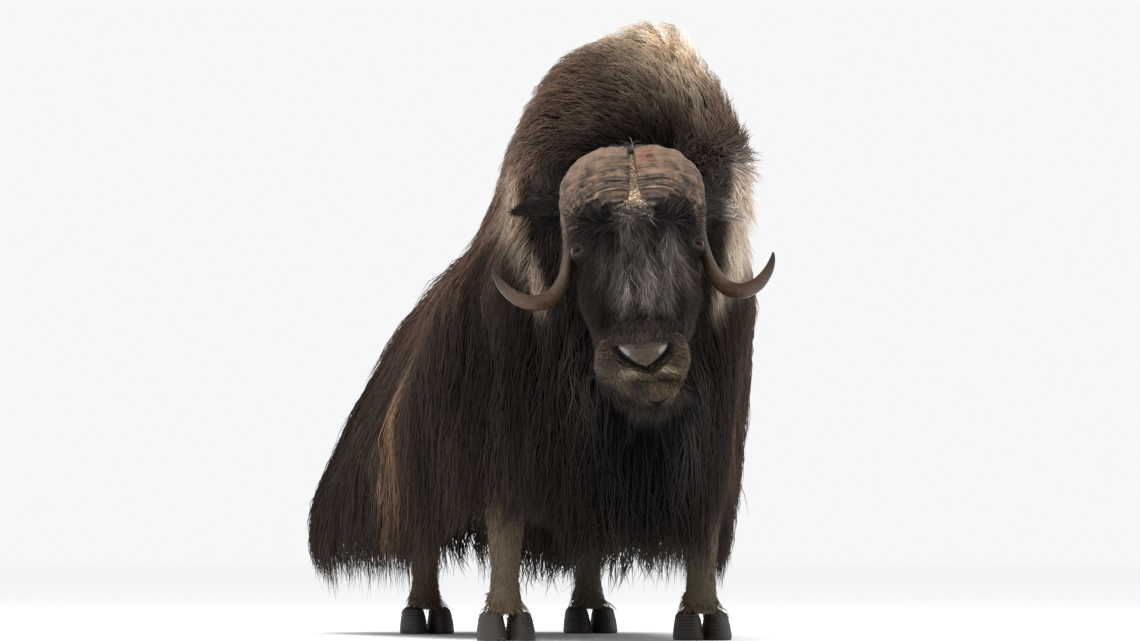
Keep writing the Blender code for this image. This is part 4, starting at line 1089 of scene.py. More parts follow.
# Horns: row, x, y, z, half height, half thickness of the centre line in the head's frame
horn = {
    "line": (
        (0, 0.0065, 0.020, 0.142, 0.0790, 0.0420), (1, 0.036, 0.004, 0.148, 0.0850, 0.0560),
        (2, 0.072, 0.012, 0.142, 0.0820, 0.0560), (3, 0.102, 0.034, 0.120, 0.0680, 0.0490),
        (4, 0.124, 0.056, 0.082, 0.0400, 0.0400), (5, 0.141, 0.068, 0.038, 0.0190, 0.0320),
        (6, 0.154, 0.062, -0.012, 0.0135, 0.0265), (7, 0.168, 0.042, -0.060, 0.0150, 0.0220),
        (8, 0.194, 0.008, -0.102, 0.0172, 0.0185), (9, 0.228, -0.026, -0.121, 0.0172, 0.0165),
        (10, 0.262, -0.052, -0.117, 0.0150, 0.0145), (11, 0.288, -0.070, -0.097, 0.0115, 0.0110),
        (12, 0.302, -0.080, -0.074, 0.0072, 0.0070), (13, 0.307, -0.084, -0.055, 0.0022, 0.0022),
    ),
    "hookX": 0.160,
    "spread": {-1: 1.10, 1: 0.87},
    "bossEnd": 4.6,
    "bossSteps": 74,
    "hookSteps": 96,
    "points": 140,
    "grooveHalf": 0.0088,
    "ridgeHeight": 0.0068,
    "crackDepth": 0.0040,
}


def noiseAt(points, scale, seed=0.0, octaves=3):
    found = [noise.fractal(Vector(p) * scale + Vector((seed, seed, seed)), 0.6, 2.0, octaves) for p in points]
    return np.array(found)


# Grid of one horn, with its growth coordinates: place along, angle round, and which way is out.
def hornGrid(side):
    places = np.concatenate([np.linspace(0, horn["bossEnd"], horn["bossSteps"], endpoint=False),
                             np.linspace(horn["bossEnd"], 13, horn["hookSteps"])])
    rows = np.array([tableRow(horn["line"], place) for place in places])
    centres = rows[:, 1:4].copy()
    past = np.maximum(centres[:, 0] - horn["hookX"], 0)
    centres[:, 0] = (centres[:, 0] + past * (horn["spread"][side] - 1)) * side
    centres[:, 0] = np.maximum(centres[:, 0] * side, horn["grooveHalf"]) * side
    along = unit(np.gradient(centres, axis=0))
    start = smoothStep(1.0, 0.0, places)[:, None]
    along = unit(along * (1 - start) + np.array([side, 0, 0]) * start)
    outward = unit(np.cross(along, [0.0, 1.0, 0.0]))
    thick = unit(np.cross(along, outward))
    angle = np.linspace(0, 2 * math.pi, horn["points"], endpoint=False)
    squareness = mix(0.86, 1.0, smoothStep(3.0, 6.0, places))[:, None]
    c = np.sign(np.cos(angle)) * np.abs(np.cos(angle)) ** squareness
    s = np.sign(np.sin(angle)) * np.abs(np.sin(angle)) ** squareness
    rounded = 1 - 0.17 * np.clip(1 - places / 0.75, 0, 1) ** 2.2  # soft edges along the groove
    grid = centres[:, None] + outward[:, None] * ((rows[:, 4] * rounded)[:, None] * c)[..., None]
    grid = grid + thick[:, None] * ((rows[:, 5] * rounded)[:, None] * s)[..., None]
    return places, angle, centres, grid


def makeHorn(side, name):
    places, angle, centres, grid = hornGrid(side)
    normals = unit(grid - centres[:, None])
    arc = np.concatenate([[0], np.cumsum(np.linalg.norm(np.diff(centres, axis=0), axis=1))])
    around = np.empty(grid.shape[:2])
    halfHeights = np.array([tableRow(horn["line"], place)[4] for place in places])
    up = grid[..., 2] - centres[:, None, 2]  # place across the boss, from its lower edge to its top
    across = up * np.clip(0.082 / halfHeights, 0.9, 2.2)[:, None]
    grow = np.stack([np.broadcast_to(arc[:, None], around.shape), across, grid[..., 1]], axis=2)
    streaks = noiseAt(grow.reshape(-1, 3) * [14, 105, 26], 1.0, 3.7 * side).reshape(around.shape)
    rough = noiseAt(grid.reshape(-1, 3), 34.0, 9.1).reshape(around.shape)
    fine = noiseAt(grid.reshape(-1, 3), 130.0, 2.3, 2).reshape(around.shape)
    onBoss = smoothStep(horn["bossEnd"] + 0.6, horn["bossEnd"] - 1.2, places)[:, None]
    low = smoothStep(0.045, -0.010, up)
    ridge = streaks * (0.35 + 0.65 * low) * onBoss
    crack = np.clip(np.abs(streaks) * 7, 0, 1)
    crackMask = onBoss * smoothStep(0.040, -0.005, up + 0.05 * rough) * (0.35 + 0.65 * smoothStep(-0.35, 0.10, rough))
    move = horn["ridgeHeight"] * ridge + 0.0028 * rough * onBoss + 0.0007 * fine * (0.3 + 0.7 * onBoss)
    move = move - horn["crackDepth"] * (1 - crack) * crackMask
    move = move * smoothStep(13.0, 12.0, places)[:, None] - 0.0016 * onBoss
    grid = grid + normals * move[..., None]
    grid[..., 0] = np.where(places[:, None] < 3, np.maximum(grid[..., 0] * side, 0.0075) * side, grid[..., 0])
    piece = loftObject(name, grid)
    tan, pink, grey = np.array([0.130, 0.084, 0.056]), np.array([0.190, 0.118, 0.080]), np.array([0.026, 0.018, 0.014])
    amber, dark, base = np.array([0.056, 0.022, 0.007]), np.array([0.009, 0.007, 0.006]), np.array([0.054, 0.033, 0.020])
    spread = lambda values: np.broadcast_to(values, around.shape)[..., None]
    colour = mix(tan, pink, spread(smoothStep(-0.3, 0.5, rough)))
    colour = colour * (1 + 0.9 * np.clip(streaks, -0.6, 0.6) * low * onBoss)[..., None]
    colour = mix(colour, grey, spread(smoothStep(-0.036, -0.058, up + 0.008 * rough) * 0.92 * onBoss))
    colour = colour * (1 - 0.80 * (1 - crack) * crackMask)[..., None]
    colour = mix(colour, np.array([0.190, 0.142, 0.096]), spread(0.45 * smoothStep(0.1, 0.5, fine) * onBoss))
    if side == 1:
        stainAway = ((grid - [0.030, -0.045, 0.196]) / [0.020, 0.05, 0.030]) ** 2
        stain = np.exp(-stainAway.sum(axis=2)) * smoothStep(-0.5, 0.3, fine)
        colour = mix(colour, np.array([0.24, 0.060, 0.018]), spread(0.75 * stain))
    onHook = spread(smoothStep(3.8, 6.0, places)[:, None])
    outerSide = spread(smoothStep(-0.2, 0.9, np.cos(angle))[None, :])
    hook = mix(base, amber, spread(smoothStep(7.5, 9.5, places)[:, None]) * (0.35 + 0.65 * outerSide))
    hook = mix(hook, dark, spread(smoothStep(10.6, 12.4, places)[:, None]))
    hook = hook * (1 + 0.25 * streaks[..., None]) * (1 + 0.15 * fine[..., None])
    hook = hook * (np.array([0.77, 0.70, 0.62]) if side == 1 else 1.0)
    colour = np.clip(mix(colour, hook, onHook), 0.006, 0.9)
    ends = np.stack([colour[0].mean(axis=0), colour[-1].mean(axis=0)])
    setColours(piece.data, np.concatenate([colour.reshape(-1, 3), ends]))
    growLayer = piece.data.attributes.new("grow", "FLOAT_VECTOR", "POINT")
    growPoints = np.concatenate([grow.reshape(-1, 3), [grow[0].mean(axis=0), grow[-1].mean(axis=0)]])
    growLayer.data.foreach_set("vector", growPoints.astype(np.float32).ravel())
    worn = onBoss * (0.25 + 0.75 * smoothStep(0.060, 0.010, up + 0.05 * rough)) * smoothStep(-0.075, -0.055, up)
    wornLayer = piece.data.attributes.new("worn", "FLOAT", "POINT")
    wornLayer.data.foreach_set("value", np.concatenate([worn.ravel(), [0.5, 0.0]]).astype(np.float32))
    piece.data.transform(Matrix.Translation(toFrame) @ headMatrix)
    piece.data.shade_smooth()
    piece.data.materials.append(hornMaterial)
    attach(piece, "root")
    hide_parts(name.replace("_shell", ""))


# Crack group: long cracks that follow the horn's growth, as a shade and a height.
def crackGroup():
    group = bpy.data.node_groups.new("growthCracks", "ShaderNodeTree")
    group.interface.new_socket("Along", in_out="INPUT", socket_type="NodeSocketFloat").default_value = 16.0
    group.interface.new_socket("Across", in_out="INPUT", socket_type="NodeSocketFloat").default_value = 200.0
    group.interface.new_socket("Warp", in_out="INPUT", socket_type="NodeSocketFloat").default_value = 0.010
    group.interface.new_socket("Shade", in_out="OUTPUT", socket_type="NodeSocketFloat")
    group.interface.new_socket("Height", in_out="OUTPUT", socket_type="NodeSocketFloat")
    nodes, links = group.nodes, group.links
    inside, outside = nodes.new("NodeGroupInput"), nodes.new("NodeGroupOutput")
    where, bend, shift = nodes.new("ShaderNodeAttribute"), nodes.new("ShaderNodeTexNoise"), nodes.new("ShaderNodeVectorMath")
    where.attribute_name = "grow"
    bend.inputs["Scale"].default_value = 28.0
    bend.inputs["Detail"].default_value = 3.0
    shift.operation = "SUBTRACT"
    shift.inputs[1].default_value = (0.5, 0.5, 0.5)
    warp, total, stretch = [nodes.new("ShaderNodeVectorMath") for k in range(3)]
    warp.operation, total.operation, stretch.operation = "SCALE", "ADD", "MULTIPLY"
    sizes, lines, shade = nodes.new("ShaderNodeCombineXYZ"), nodes.new("ShaderNodeTexNoise"), nodes.new("ShaderNodeMapRange")
    sizes.inputs["Z"].default_value = 45.0
    lines.inputs["Scale"].default_value = 1.0
    lines.inputs["Detail"].default_value = 3.0
    shade.inputs["From Min"].default_value = 0.34
    shade.inputs["From Max"].default_value = 0.56
    shade.inputs["To Min"].default_value = 0.0
    shade.inputs["To Max"].default_value = 1.0
    links.new(where.outputs["Vector"], bend.inputs["Vector"])
    links.new(bend.outputs["Color"], shift.inputs[0])
    links.new(shift.outputs["Vector"], warp.inputs[0])
    links.new(inside.outputs["Warp"], warp.inputs["Scale"])
    links.new(where.outputs["Vector"], total.inputs[0])
    links.new(warp.outputs["Vector"], total.inputs[1])
    links.new(inside.outputs["Along"], sizes.inputs["X"])
    links.new(inside.outputs["Across"], sizes.inputs["Y"])
    links.new(total.outputs["Vector"], stretch.inputs[0])
    links.new(sizes.outputs["Vector"], stretch.inputs[1])
    links.new(stretch.outputs["Vector"], lines.inputs["Vector"])
    links.new(lines.outputs["Fac"], shade.inputs["Value"])
    links.new(shade.outputs["Result"], outside.inputs["Shade"])
    links.new(lines.outputs["Fac"], outside.inputs["Height"])
    return group


# The horn's grain gets cracks where the boss is worn, and the hooks stay smoother.
def crackHorn(material):
    nodes, links = material.node_tree.nodes, material.node_tree.links
    shader, relief = nodes["Principled BSDF"], nodes["Bump"]
    grain = next(node for node in nodes if node.type == "GROUP")
    cracks, worn = nodes.new("ShaderNodeGroup"), nodes.new("ShaderNodeAttribute")
    cracks.node_tree = crackGroup()
    worn.attribute_name = "worn"
    least, shade, scaled, depth, height, rough = [nodes.new("ShaderNodeMath") for k in range(6)]
    tinted = nodes.new("ShaderNodeVectorMath")
    tinted.operation = "SCALE"
    least.operation, shade.operation, scaled.operation = "SUBTRACT", "MULTIPLY", "SUBTRACT"
    least.inputs[0].default_value = 1.0  # how much of each crack is dark: worn * (1 - shade)
    scaled.inputs[0].default_value = 1.0
    depth.operation, height.operation, rough.operation = "MULTIPLY", "MULTIPLY_ADD", "MULTIPLY_ADD"
    height.inputs[1].default_value = 3.5
    rough.inputs[1].default_value = 0.28
    links.new(cracks.outputs["Shade"], least.inputs[1])
    links.new(least.outputs[0], shade.inputs[0])
    links.new(worn.outputs["Fac"], shade.inputs[1])
    links.new(shade.outputs[0], scaled.inputs[1])
    links.new(grain.outputs["Colour"], tinted.inputs[0])
    links.new(scaled.outputs[0], tinted.inputs["Scale"])
    links.new(tinted.outputs["Vector"], shader.inputs["Base Color"])
    links.new(cracks.outputs["Height"], depth.inputs[0])
    links.new(worn.outputs["Fac"], depth.inputs[1])
    links.new(depth.outputs[0], height.inputs[0])
    links.new(grain.outputs["Height"], height.inputs[2])
    links.new(height.outputs[0], relief.inputs["Height"])
    links.new(worn.outputs["Fac"], rough.inputs[0])
    links.new(grain.outputs["Rough"], rough.inputs[2])
    links.new(rough.outputs[0], shader.inputs["Roughness"])


# Grain group: two sizes of noise that give a height and a tint.
def grainGroup():
    group = bpy.data.node_groups.new("grain", "ShaderNodeTree")
    group.interface.new_socket("Tint", in_out="INPUT", socket_type="NodeSocketColor")
    for word, value in (("Coarse", 60.0), ("Fine", 400.0), ("Stretch", 1.0), ("Amount", 0.2), ("RoughLow", 0.4),
                        ("RoughHigh", 0.6)):
        group.interface.new_socket(word, in_out="INPUT", socket_type="NodeSocketFloat").default_value = value
    group.interface.new_socket("Colour", in_out="OUTPUT", socket_type="NodeSocketColor")
    group.interface.new_socket("Rough", in_out="OUTPUT", socket_type="NodeSocketFloat")
    group.interface.new_socket("Height", in_out="OUTPUT", socket_type="NodeSocketFloat")
    nodes, links = group.nodes, group.links
    inside, outside = nodes.new("NodeGroupInput"), nodes.new("NodeGroupOutput")
    where, stretch, join = nodes.new("ShaderNodeTexCoord"), nodes.new("ShaderNodeVectorMath"), nodes.new("ShaderNodeCombineXYZ")
    stretch.operation = "MULTIPLY"
    join.inputs["X"].default_value = join.inputs["Y"].default_value = 1.0
    links.new(inside.outputs["Stretch"], join.inputs["Z"])
    links.new(where.outputs["Object"], stretch.inputs[0])
    links.new(join.outputs["Vector"], stretch.inputs[1])
    grains = []
    for word in ("Coarse", "Fine"):
        grain = nodes.new("ShaderNodeTexNoise")
        grain.inputs["Detail"].default_value = 4.0
        links.new(stretch.outputs["Vector"], grain.inputs["Vector"])
        links.new(inside.outputs[word], grain.inputs["Scale"])
        grains.append(grain)
    total = nodes.new("ShaderNodeMath")
    total.operation = "MULTIPLY_ADD"
    total.inputs[1].default_value = 0.5
    links.new(grains[1].outputs["Fac"], total.inputs[0])
    links.new(grains[0].outputs["Fac"], total.inputs[2])
    links.new(total.outputs[0], outside.inputs["Height"])
    low, high, scaled = nodes.new("ShaderNodeMath"), nodes.new("ShaderNodeMath"), nodes.new("ShaderNodeVectorMath")
    low.operation, high.operation, scaled.operation = "SUBTRACT", "ADD", "SCALE"
    low.inputs[0].default_value = high.inputs[0].default_value = 1.0
    links.new(inside.outputs["Amount"], low.inputs[1])
    links.new(inside.outputs["Amount"], high.inputs[1])
    spread, rough = nodes.new("ShaderNodeMapRange"), nodes.new("ShaderNodeMapRange")
    for node in (spread, rough):
        node.inputs["From Min"].default_value = 0.50
        node.inputs["From Max"].default_value = 1.00
        links.new(total.outputs[0], node.inputs["Value"])
    links.new(low.outputs[0], spread.inputs["To Min"])
    links.new(high.outputs[0], spread.inputs["To Max"])
    links.new(inside.outputs["RoughLow"], rough.inputs["To Min"])
    links.new(inside.outputs["RoughHigh"], rough.inputs["To Max"])
    links.new(inside.outputs["Tint"], scaled.inputs[0])
    links.new(spread.outputs["Result"], scaled.inputs["Scale"])
    links.new(scaled.outputs["Vector"], outside.inputs["Colour"])
    links.new(rough.outputs["Result"], outside.inputs["Rough"])
    return group


def grainMaterial(name, group, values, bump, tint=None, specular=0.5):
    material, nodes, links, shader = newMaterial(name)
    grain, relief = nodes.new("ShaderNodeGroup"), nodes.new("ShaderNodeBump")
    grain.node_tree = group
    for word, value in values.items():
        grain.inputs[word].default_value = value
    if tint:
        grain.inputs["Tint"].default_value = (*tint, 1.0)
    else:
        marking = nodes.new("ShaderNodeAttribute")
        marking.attribute_name = "fur"
        links.new(marking.outputs["Color"], grain.inputs["Tint"])
    relief.inputs["Strength"].default_value = 1.0
    relief.inputs["Distance"].default_value = bump
    links.new(grain.outputs["Height"], relief.inputs["Height"])
    links.new(relief.outputs["Normal"], shader.inputs["Normal"])
    links.new(grain.outputs["Colour"], shader.inputs["Base Color"])
    links.new(grain.outputs["Rough"], shader.inputs["Roughness"])
    shader.inputs["Specular IOR Level"].default_value = specular
    return material


# Eyes: a wet ball with a brown iris and a level, long pupil
eyeLook = {"iris": 0.66, "limbus": 0.74, "pupil": (0.40, 0.20), "bulge": 0.0008}


def makeEye(side, name):
    centre = Vector((eye["at"][0] * side, eye["at"][1], eye["at"][2]))
    look = Vector((eye["look"][0] * side, eye["look"][1], eye["look"][2]))
    turn = look.to_track_quat("Z", "Y").to_matrix()
    piece = ball(name, (0, 0, 0), (1, 1, 1), None, 96, 64)
    points = np.empty(len(piece.data.vertices) * 3)
    piece.data.vertices.foreach_get("co", points)
    points = points.reshape(-1, 3)
    reach = np.hypot(points[:, 0], points[:, 1])
    front = points[:, 2] > 0
    angle = np.arctan2(points[:, 1], points[:, 0])
    iris = front * smoothStep(eyeLook["limbus"], eyeLook["iris"], reach)
    pupil = front * smoothStep(1.15, 0.90, np.hypot(points[:, 0] / eyeLook["pupil"][0], points[:, 1] / eyeLook["pupil"][1]))
    fibre = 1 + 0.35 * np.sin(angle * 23 + 4 * np.sin(angle * 5)) * smoothStep(0.2, 0.5, reach)
    colour = np.tile([0.230, 0.190, 0.160], (len(points), 1))
    colour = mix(colour, np.array([0.010, 0.006, 0.004]), (front * smoothStep(0.84, 0.76, reach))[:, None])
    colour = mix(colour, np.array([0.028, 0.013, 0.007]) * fibre[:, None], iris[:, None])
    colour = mix(colour, np.array([0.002, 0.002, 0.002]), pupil[:, None])
    setColours(piece.data, colour)
    bulged = points * (eye["radius"] + eyeLook["bulge"] * (front * smoothStep(0.75, 0.2, reach))[:, None])
    piece.data.vertices.foreach_set("co", bulged.ravel())
    piece.data.transform(Matrix.Translation(toFrame) @ headMatrix @ Matrix.Translation(centre) @ turn.to_4x4())
    piece.data.shade_smooth()
    piece.data.materials.append(eyeMaterial)
    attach(piece, "root")
    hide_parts(name.replace("_ball", ""))


# Hooves: height, toe, heel and half width of one claw; two claws to a foot
hoof = {
    "rows": (
        (0.000, -0.071, 0.049, 0.0300), (0.006, -0.076, 0.052, 0.0316), (0.016, -0.074, 0.052, 0.0312),
        (0.030, -0.067, 0.050, 0.0300), (0.044, -0.058, 0.047, 0.0276), (0.054, -0.051, 0.045, 0.0254),
        (0.060, -0.045, 0.042, 0.0225), (0.0655, -0.030, 0.036, 0.0150)),
    "offset": 0.0335, "steps": 46, "points": 64, "ringHeight": 0.0005, "toePinch": 0.35,
}


def clawGrid(x, y, sign):
    heights = np.linspace(0, hoof["rows"][-1][0], hoof["steps"])
    rings = []
    for z in heights:
        toe, heel, halfWidth = tableRow(hoof["rows"], z)[1:]
        angle = np.linspace(0, 2 * math.pi, hoof["points"], endpoint=False)
        c, s = np.cos(angle), np.sin(angle)
        c, s = np.sign(c) * np.abs(c) ** 0.85, np.sign(s) * np.abs(s) ** 0.85
        forward = np.clip(-s, 0, 1)
        width = halfWidth * (1 - hoof["toePinch"] * forward ** 2)
        grown = 1 + hoof["ringHeight"] / halfWidth * math.sin(z * 900) * (z > 0.004)
        inner = 0.0045 * forward ** 2 * -sign
        ring = [x + width * c * grown + inner, y + (toe + heel) / 2 + (heel - toe) / 2 * s * grown, np.full_like(c, z)]
        rings.append(np.stack(ring, axis=1))
    return np.array(rings)


def makeHooves(kind, side, word):
    leg = legs[kind]
    piece = None
    for sign in (-1, 1):
        claw = loftObject("claw", clawGrid(side * leg["x"] + sign * hoof["offset"], leg["y"], sign))
        if piece is None:
            piece = claw
            continue
        shape = bmesh.new()
        shape.from_mesh(piece.data)
        shape.from_mesh(claw.data)
        shape.to_mesh(piece.data)
        shape.free()
        bpy.data.objects.remove(claw, do_unlink=True)
    piece.name = f"{kind}hoof_{word}"
    piece.data.transform(Matrix.Translation(toFrame))
    piece.data.shade_smooth()
    piece.data.materials.append(hoofMaterial)
    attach(piece, "root")
    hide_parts(f"{kind}leg_{word}_claw_1", f"{kind}leg_{word}_claw_2")


# Short hair on the head, in the head's frame: where it grows, which way it lies and how long it is.
face = {"spacing": 0.0033, "rings": 3, "radius": 0.00088, "muzzleRadius": 0.00085, "eyeBare": 0.0310}


def browMask(p):
    wide = np.abs(p[:, 0])
    return smoothStep(0.044, 0.056, p[:, 2]) * smoothStep(0.020, 0.036, wide) * smoothStep(0.124, 0.110, wide)


def faceWay(p):
    x, y, z = p[:, 0], p[:, 1], p[:, 2]
    side = np.sign(x)
    sway = np.array([noise.noise(Vector(point) * 26.0) for point in p])
    way = np.stack([x * 2.6 + 0.55 * sway, 0 * x, -np.ones_like(x)], axis=1)
    brow = browMask(p)[:, None]
    way = mix(way, np.stack([side * 0.5, -0.3 + 0 * x, 0.9 + 0 * x], axis=1), brow)
    cheek = (smoothStep(0.080, 0.115, np.abs(x)) * smoothStep(-0.02, 0.05, y))[:, None]
    way = mix(way, np.stack([0.1 * side, 0.55 + 0 * x, -0.9 + 0 * x], axis=1), cheek)
    muzzleSide = (smoothStep(-0.195, -0.235, z) * smoothStep(0.055, 0.085, np.abs(x)))[:, None]
    way = mix(way, np.stack([side * 0.9, 0.9 + 0 * x, -0.55 + 0 * x], axis=1), muzzleSide)
    bridge = (smoothStep(-0.190, -0.205, z) * smoothStep(0.070, 0.050, np.abs(x)) * smoothStep(-0.250, -0.238, z))[:, None]
    way = mix(way, np.stack([x * 9, 0.1 + 0 * x, 0.8 + 0 * x], axis=1), bridge)
    return way


def faceLength(p):
    x, y, z = np.abs(p[:, 0]), p[:, 1], p[:, 2]
    length = mix(0.058, 0.040, smoothStep(-0.05, -0.15, z))
    length = mix(length, mix(0.030, 0.036, smoothStep(0.04, 0.08, x)), browMask(p))
    length = mix(length, 0.016, smoothStep(-0.165, -0.205, z))
    length = mix(length, 0.030, smoothStep(0.0, 0.06, y) * smoothStep(-0.05, -0.2, z))
    length = mix(length, 0.0115, smoothStep(-0.270, -0.290, z) * smoothStep(0.03, -0.02, y) * smoothStep(-0.334, -0.328, z))
    length = mix(length, 0.012, smoothStep(-0.325, -0.336, z))
    length = mix(length, 0.075, smoothStep(0.06, 0.11, y))
    for side in (1, -1):
        away = np.linalg.norm(p - np.array(eye["at"]) * [side, 1, 1], axis=1)
        length = mix(0.007, length, smoothStep(0.022, 0.060, away))
    return length


def bareFace(p):
    away = np.full(len(p), 9.0)
    for side in (1, -1):
        away = np.minimum(away, np.linalg.norm(p - np.array(eye["at"]) * [side, 1, 1], axis=1) - face["eyeBare"])
        for name, gap in (("nostril", 0.0022), ("mouth", 0.0004), ("philtrum", 0.0010)):
            near, radius = lineDistance(p, name, side)
            away = np.minimum(away, near - radius - gap)
    inside = (p[:, 1] > 0.120) | (p[:, 2] > 0.118)
    return (away < 0) | (padMask(p) > rng.uniform(0.15, 0.85, len(p))) | inside


def growShort(points, normals, ways, lengths, radius, style):
    count = len(points)
    rings = style["rings"]
    ways = unit(ways - normals * (ways * normals).sum(axis=1, keepdims=True))
    side = np.cross(ways, normals)
    turn = rng.normal(0, style["turn"], (count, 1))
    ways = unit(ways + side * turn)
    side = np.cross(ways, normals)
    q = np.linspace(0, 1, rings)[None, :, None]
    length = (lengths * rng.uniform(0.7, 1.2, count))[:, None, None]
    rise = (style["lift"] * rng.uniform(0.5, 1.5, count))[:, None, None]
    curl = rng.normal(0, style["curl"], (count, 1, 1))
    path = points[:, None] + ways[:, None] * length * q
    path = path + normals[:, None] * (length * rise * np.sin(q * style["arch"]) - style["sink"] * (1 - q))
    path = path + side[:, None] * curl * length * q ** 2
    across = np.broadcast_to(side[:, None], path.shape)
    return path, across, radius * rng.uniform(0.75, 1.3, count)


def scatterOnGrid(grid, normals, spacing):
    size = np.linalg.norm(np.diff(grid, axis=0), axis=2).mean(axis=1)
    along = np.concatenate([[0], np.cumsum(size)])
    found = []
    for distance in np.arange(spacing / 2, along[-1], spacing):
        place = np.interp(distance, along, np.arange(len(along)))
        low = min(int(place), grid.shape[0] - 2)
        share = place - low
        ring, facing = mix(grid[low], grid[low + 1], share), mix(normals[low], normals[low + 1], share)
        closed, facingClosed = np.concatenate([ring, ring[:1]]), np.concatenate([facing, facing[:1]])
        steps = np.concatenate([[0], np.cumsum(np.linalg.norm(np.diff(closed, axis=0), axis=1))])
        count = max(int(steps[-1] / spacing), 1)
        at = (np.arange(count) + rng.uniform(0, 1, count)) / count * steps[-1]
        point = np.stack([np.interp(at, steps, closed[:, k]) for k in range(3)], axis=1)
        normal = np.stack([np.interp(at, steps, facingClosed[:, k]) for k in range(3)], axis=1)
        shift = rng.uniform(-0.5, 0.5, (count, 1)) * spacing * np.array([[0, 0, 1.0]])
        shares = np.stack([at / steps[-1], np.full(count, distance / along[-1])], axis=1)
        found.append(np.concatenate([point + shift, unit(normal), shares], axis=1))
    return np.concatenate(found)


def growFace():
    found = scatterOnGrid(headGrid, gridNormals(headGrid), face["spacing"])
    found = found[~bareFace(found[:, :3])]
    points, normals, shares = found[:, :3], found[:, 3:6], found[:, 6:]
    z = points[:, 2]
    radius = mix(face["radius"], face["muzzleRadius"], smoothStep(-0.17, -0.22, z))
    brow = browMask(points)
    lift = mix(mix(0.42, 0.26, smoothStep(-0.24, -0.18, z)), 0.95, brow)
    style = {"rings": face["rings"], "turn": 0.16, "lift": lift, "curl": 0.10, "arch": 1.5, "sink": 0.0015}
    path, across, size = growShort(points, normals, faceWay(points), faceLength(points), radius, style)
    streak = np.array([1.9 * noise.noise(Vector((p[0] * 44, p[1] * 18, p[2] * 5.5)))
                       + 1.1 * noise.noise(Vector((p[0] * 120 + 7, p[1] * 40, p[2] * 11))) for p in points])
    rough = mix(0.52, 0.28, smoothStep(-0.25, -0.18, z))
    streak = streak * smoothStep(0.112, 0.076, np.abs(points[:, 0]))
    tone = np.exp(1.25 * streak * smoothStep(-0.20, -0.15, z) + rng.normal(0, 1, len(points)) * rough)[:, None, None]
    path, across = headToModel(path), across @ headRotation.T
    colours = furColour(path) * tone * np.linspace(0.65, 1.35, face["rings"])[None, :, None]
    return path, across, size, np.clip(colours, 0.002, 0.9), bakePlace("head", shares)


# Hair on any part of the finished skin, chosen by a mask over its faces.
def scatterOnSkin(mask, count):
    index = np.nonzero(mask(skinCentres))[0]
    area = skinAreas[index]
    picked = rng.choice(index, count, p=area / area.sum())
    a, b = rng.uniform(0, 1, (2, count, 1))
    fold = a + b > 1
    a, b = np.where(fold, 1 - a, a), np.where(fold, 1 - b, b)
    corners = skinCorners[picked]
    points = corners[:, 0] + a * (corners[:, 1] - corners[:, 0]) + b * (corners[:, 2] - corners[:, 0])
    return points, skinNormals[picked]


def readSkin(mesh):
    mesh.calc_loop_triangles()
    points = np.empty(len(mesh.vertices) * 3)
    mesh.vertices.foreach_get("co", points)
    triangles = np.empty(len(mesh.loop_triangles) * 3, np.int32)
    mesh.loop_triangles.foreach_get("vertices", triangles)
    corners = points.reshape(-1, 3)[triangles.reshape(-1, 3)]
    cross = np.cross(corners[:, 1] - corners[:, 0], corners[:, 2] - corners[:, 0])
    areas = np.linalg.norm(cross, axis=1) / 2
    return corners, cross / np.maximum(areas[:, None] * 2, 1e-12), areas, corners.mean(axis=1)


def growLids():
    found = []
    for side in (1, -1):
        centre = headToModel(np.array(eye["at"]) * [side, 1, 1])
        gaze = np.array(headMatrix.to_3x3() @ gazeMatrix(side)[0])

        def nearEye(points):
            away = points - centre
            distance = np.linalg.norm(away, axis=1)
            ahead = away @ gaze
            reach = np.linalg.norm(away - ahead[:, None] * gaze, axis=1)
            rim = lidRim(modelToHead(points), side)
            return (distance < 0.040) & (distance > eye["radius"] + 0.002) & (ahead > -0.015) & ((rim > 1.30) | (rim == 0))

        points, normals = scatterOnSkin(nearEye, 1900)
        away = points - centre
        ways = away - (away @ gaze)[:, None] * gaze + np.array([0, 0.0, -0.010])
        found.append((points, normals, ways))
    points, normals, ways = [np.concatenate(part) for part in zip(*found)]
    style = {"rings": 3, "turn": 0.2, "lift": 0.18, "curl": 0.1, "arch": 1.5, "sink": 0.0008}
    path, across, size = growShort(points, normals, ways, np.full(len(points), 0.0100), 0.0007, style)
    colours = np.broadcast_to(np.array([0.020, 0.016, 0.014]), path.shape) * rng.uniform(0.5, 2.2, (len(path), 1, 1))
    inHead = modelToHead(points)
    shares = np.stack([np.arctan2(inHead[:, 1], inHead[:, 0]) / 6.2832 % 1, inHead[:, 2] + 0.5], axis=1)
    return path, across, size, colours, bakePlace("head", shares)


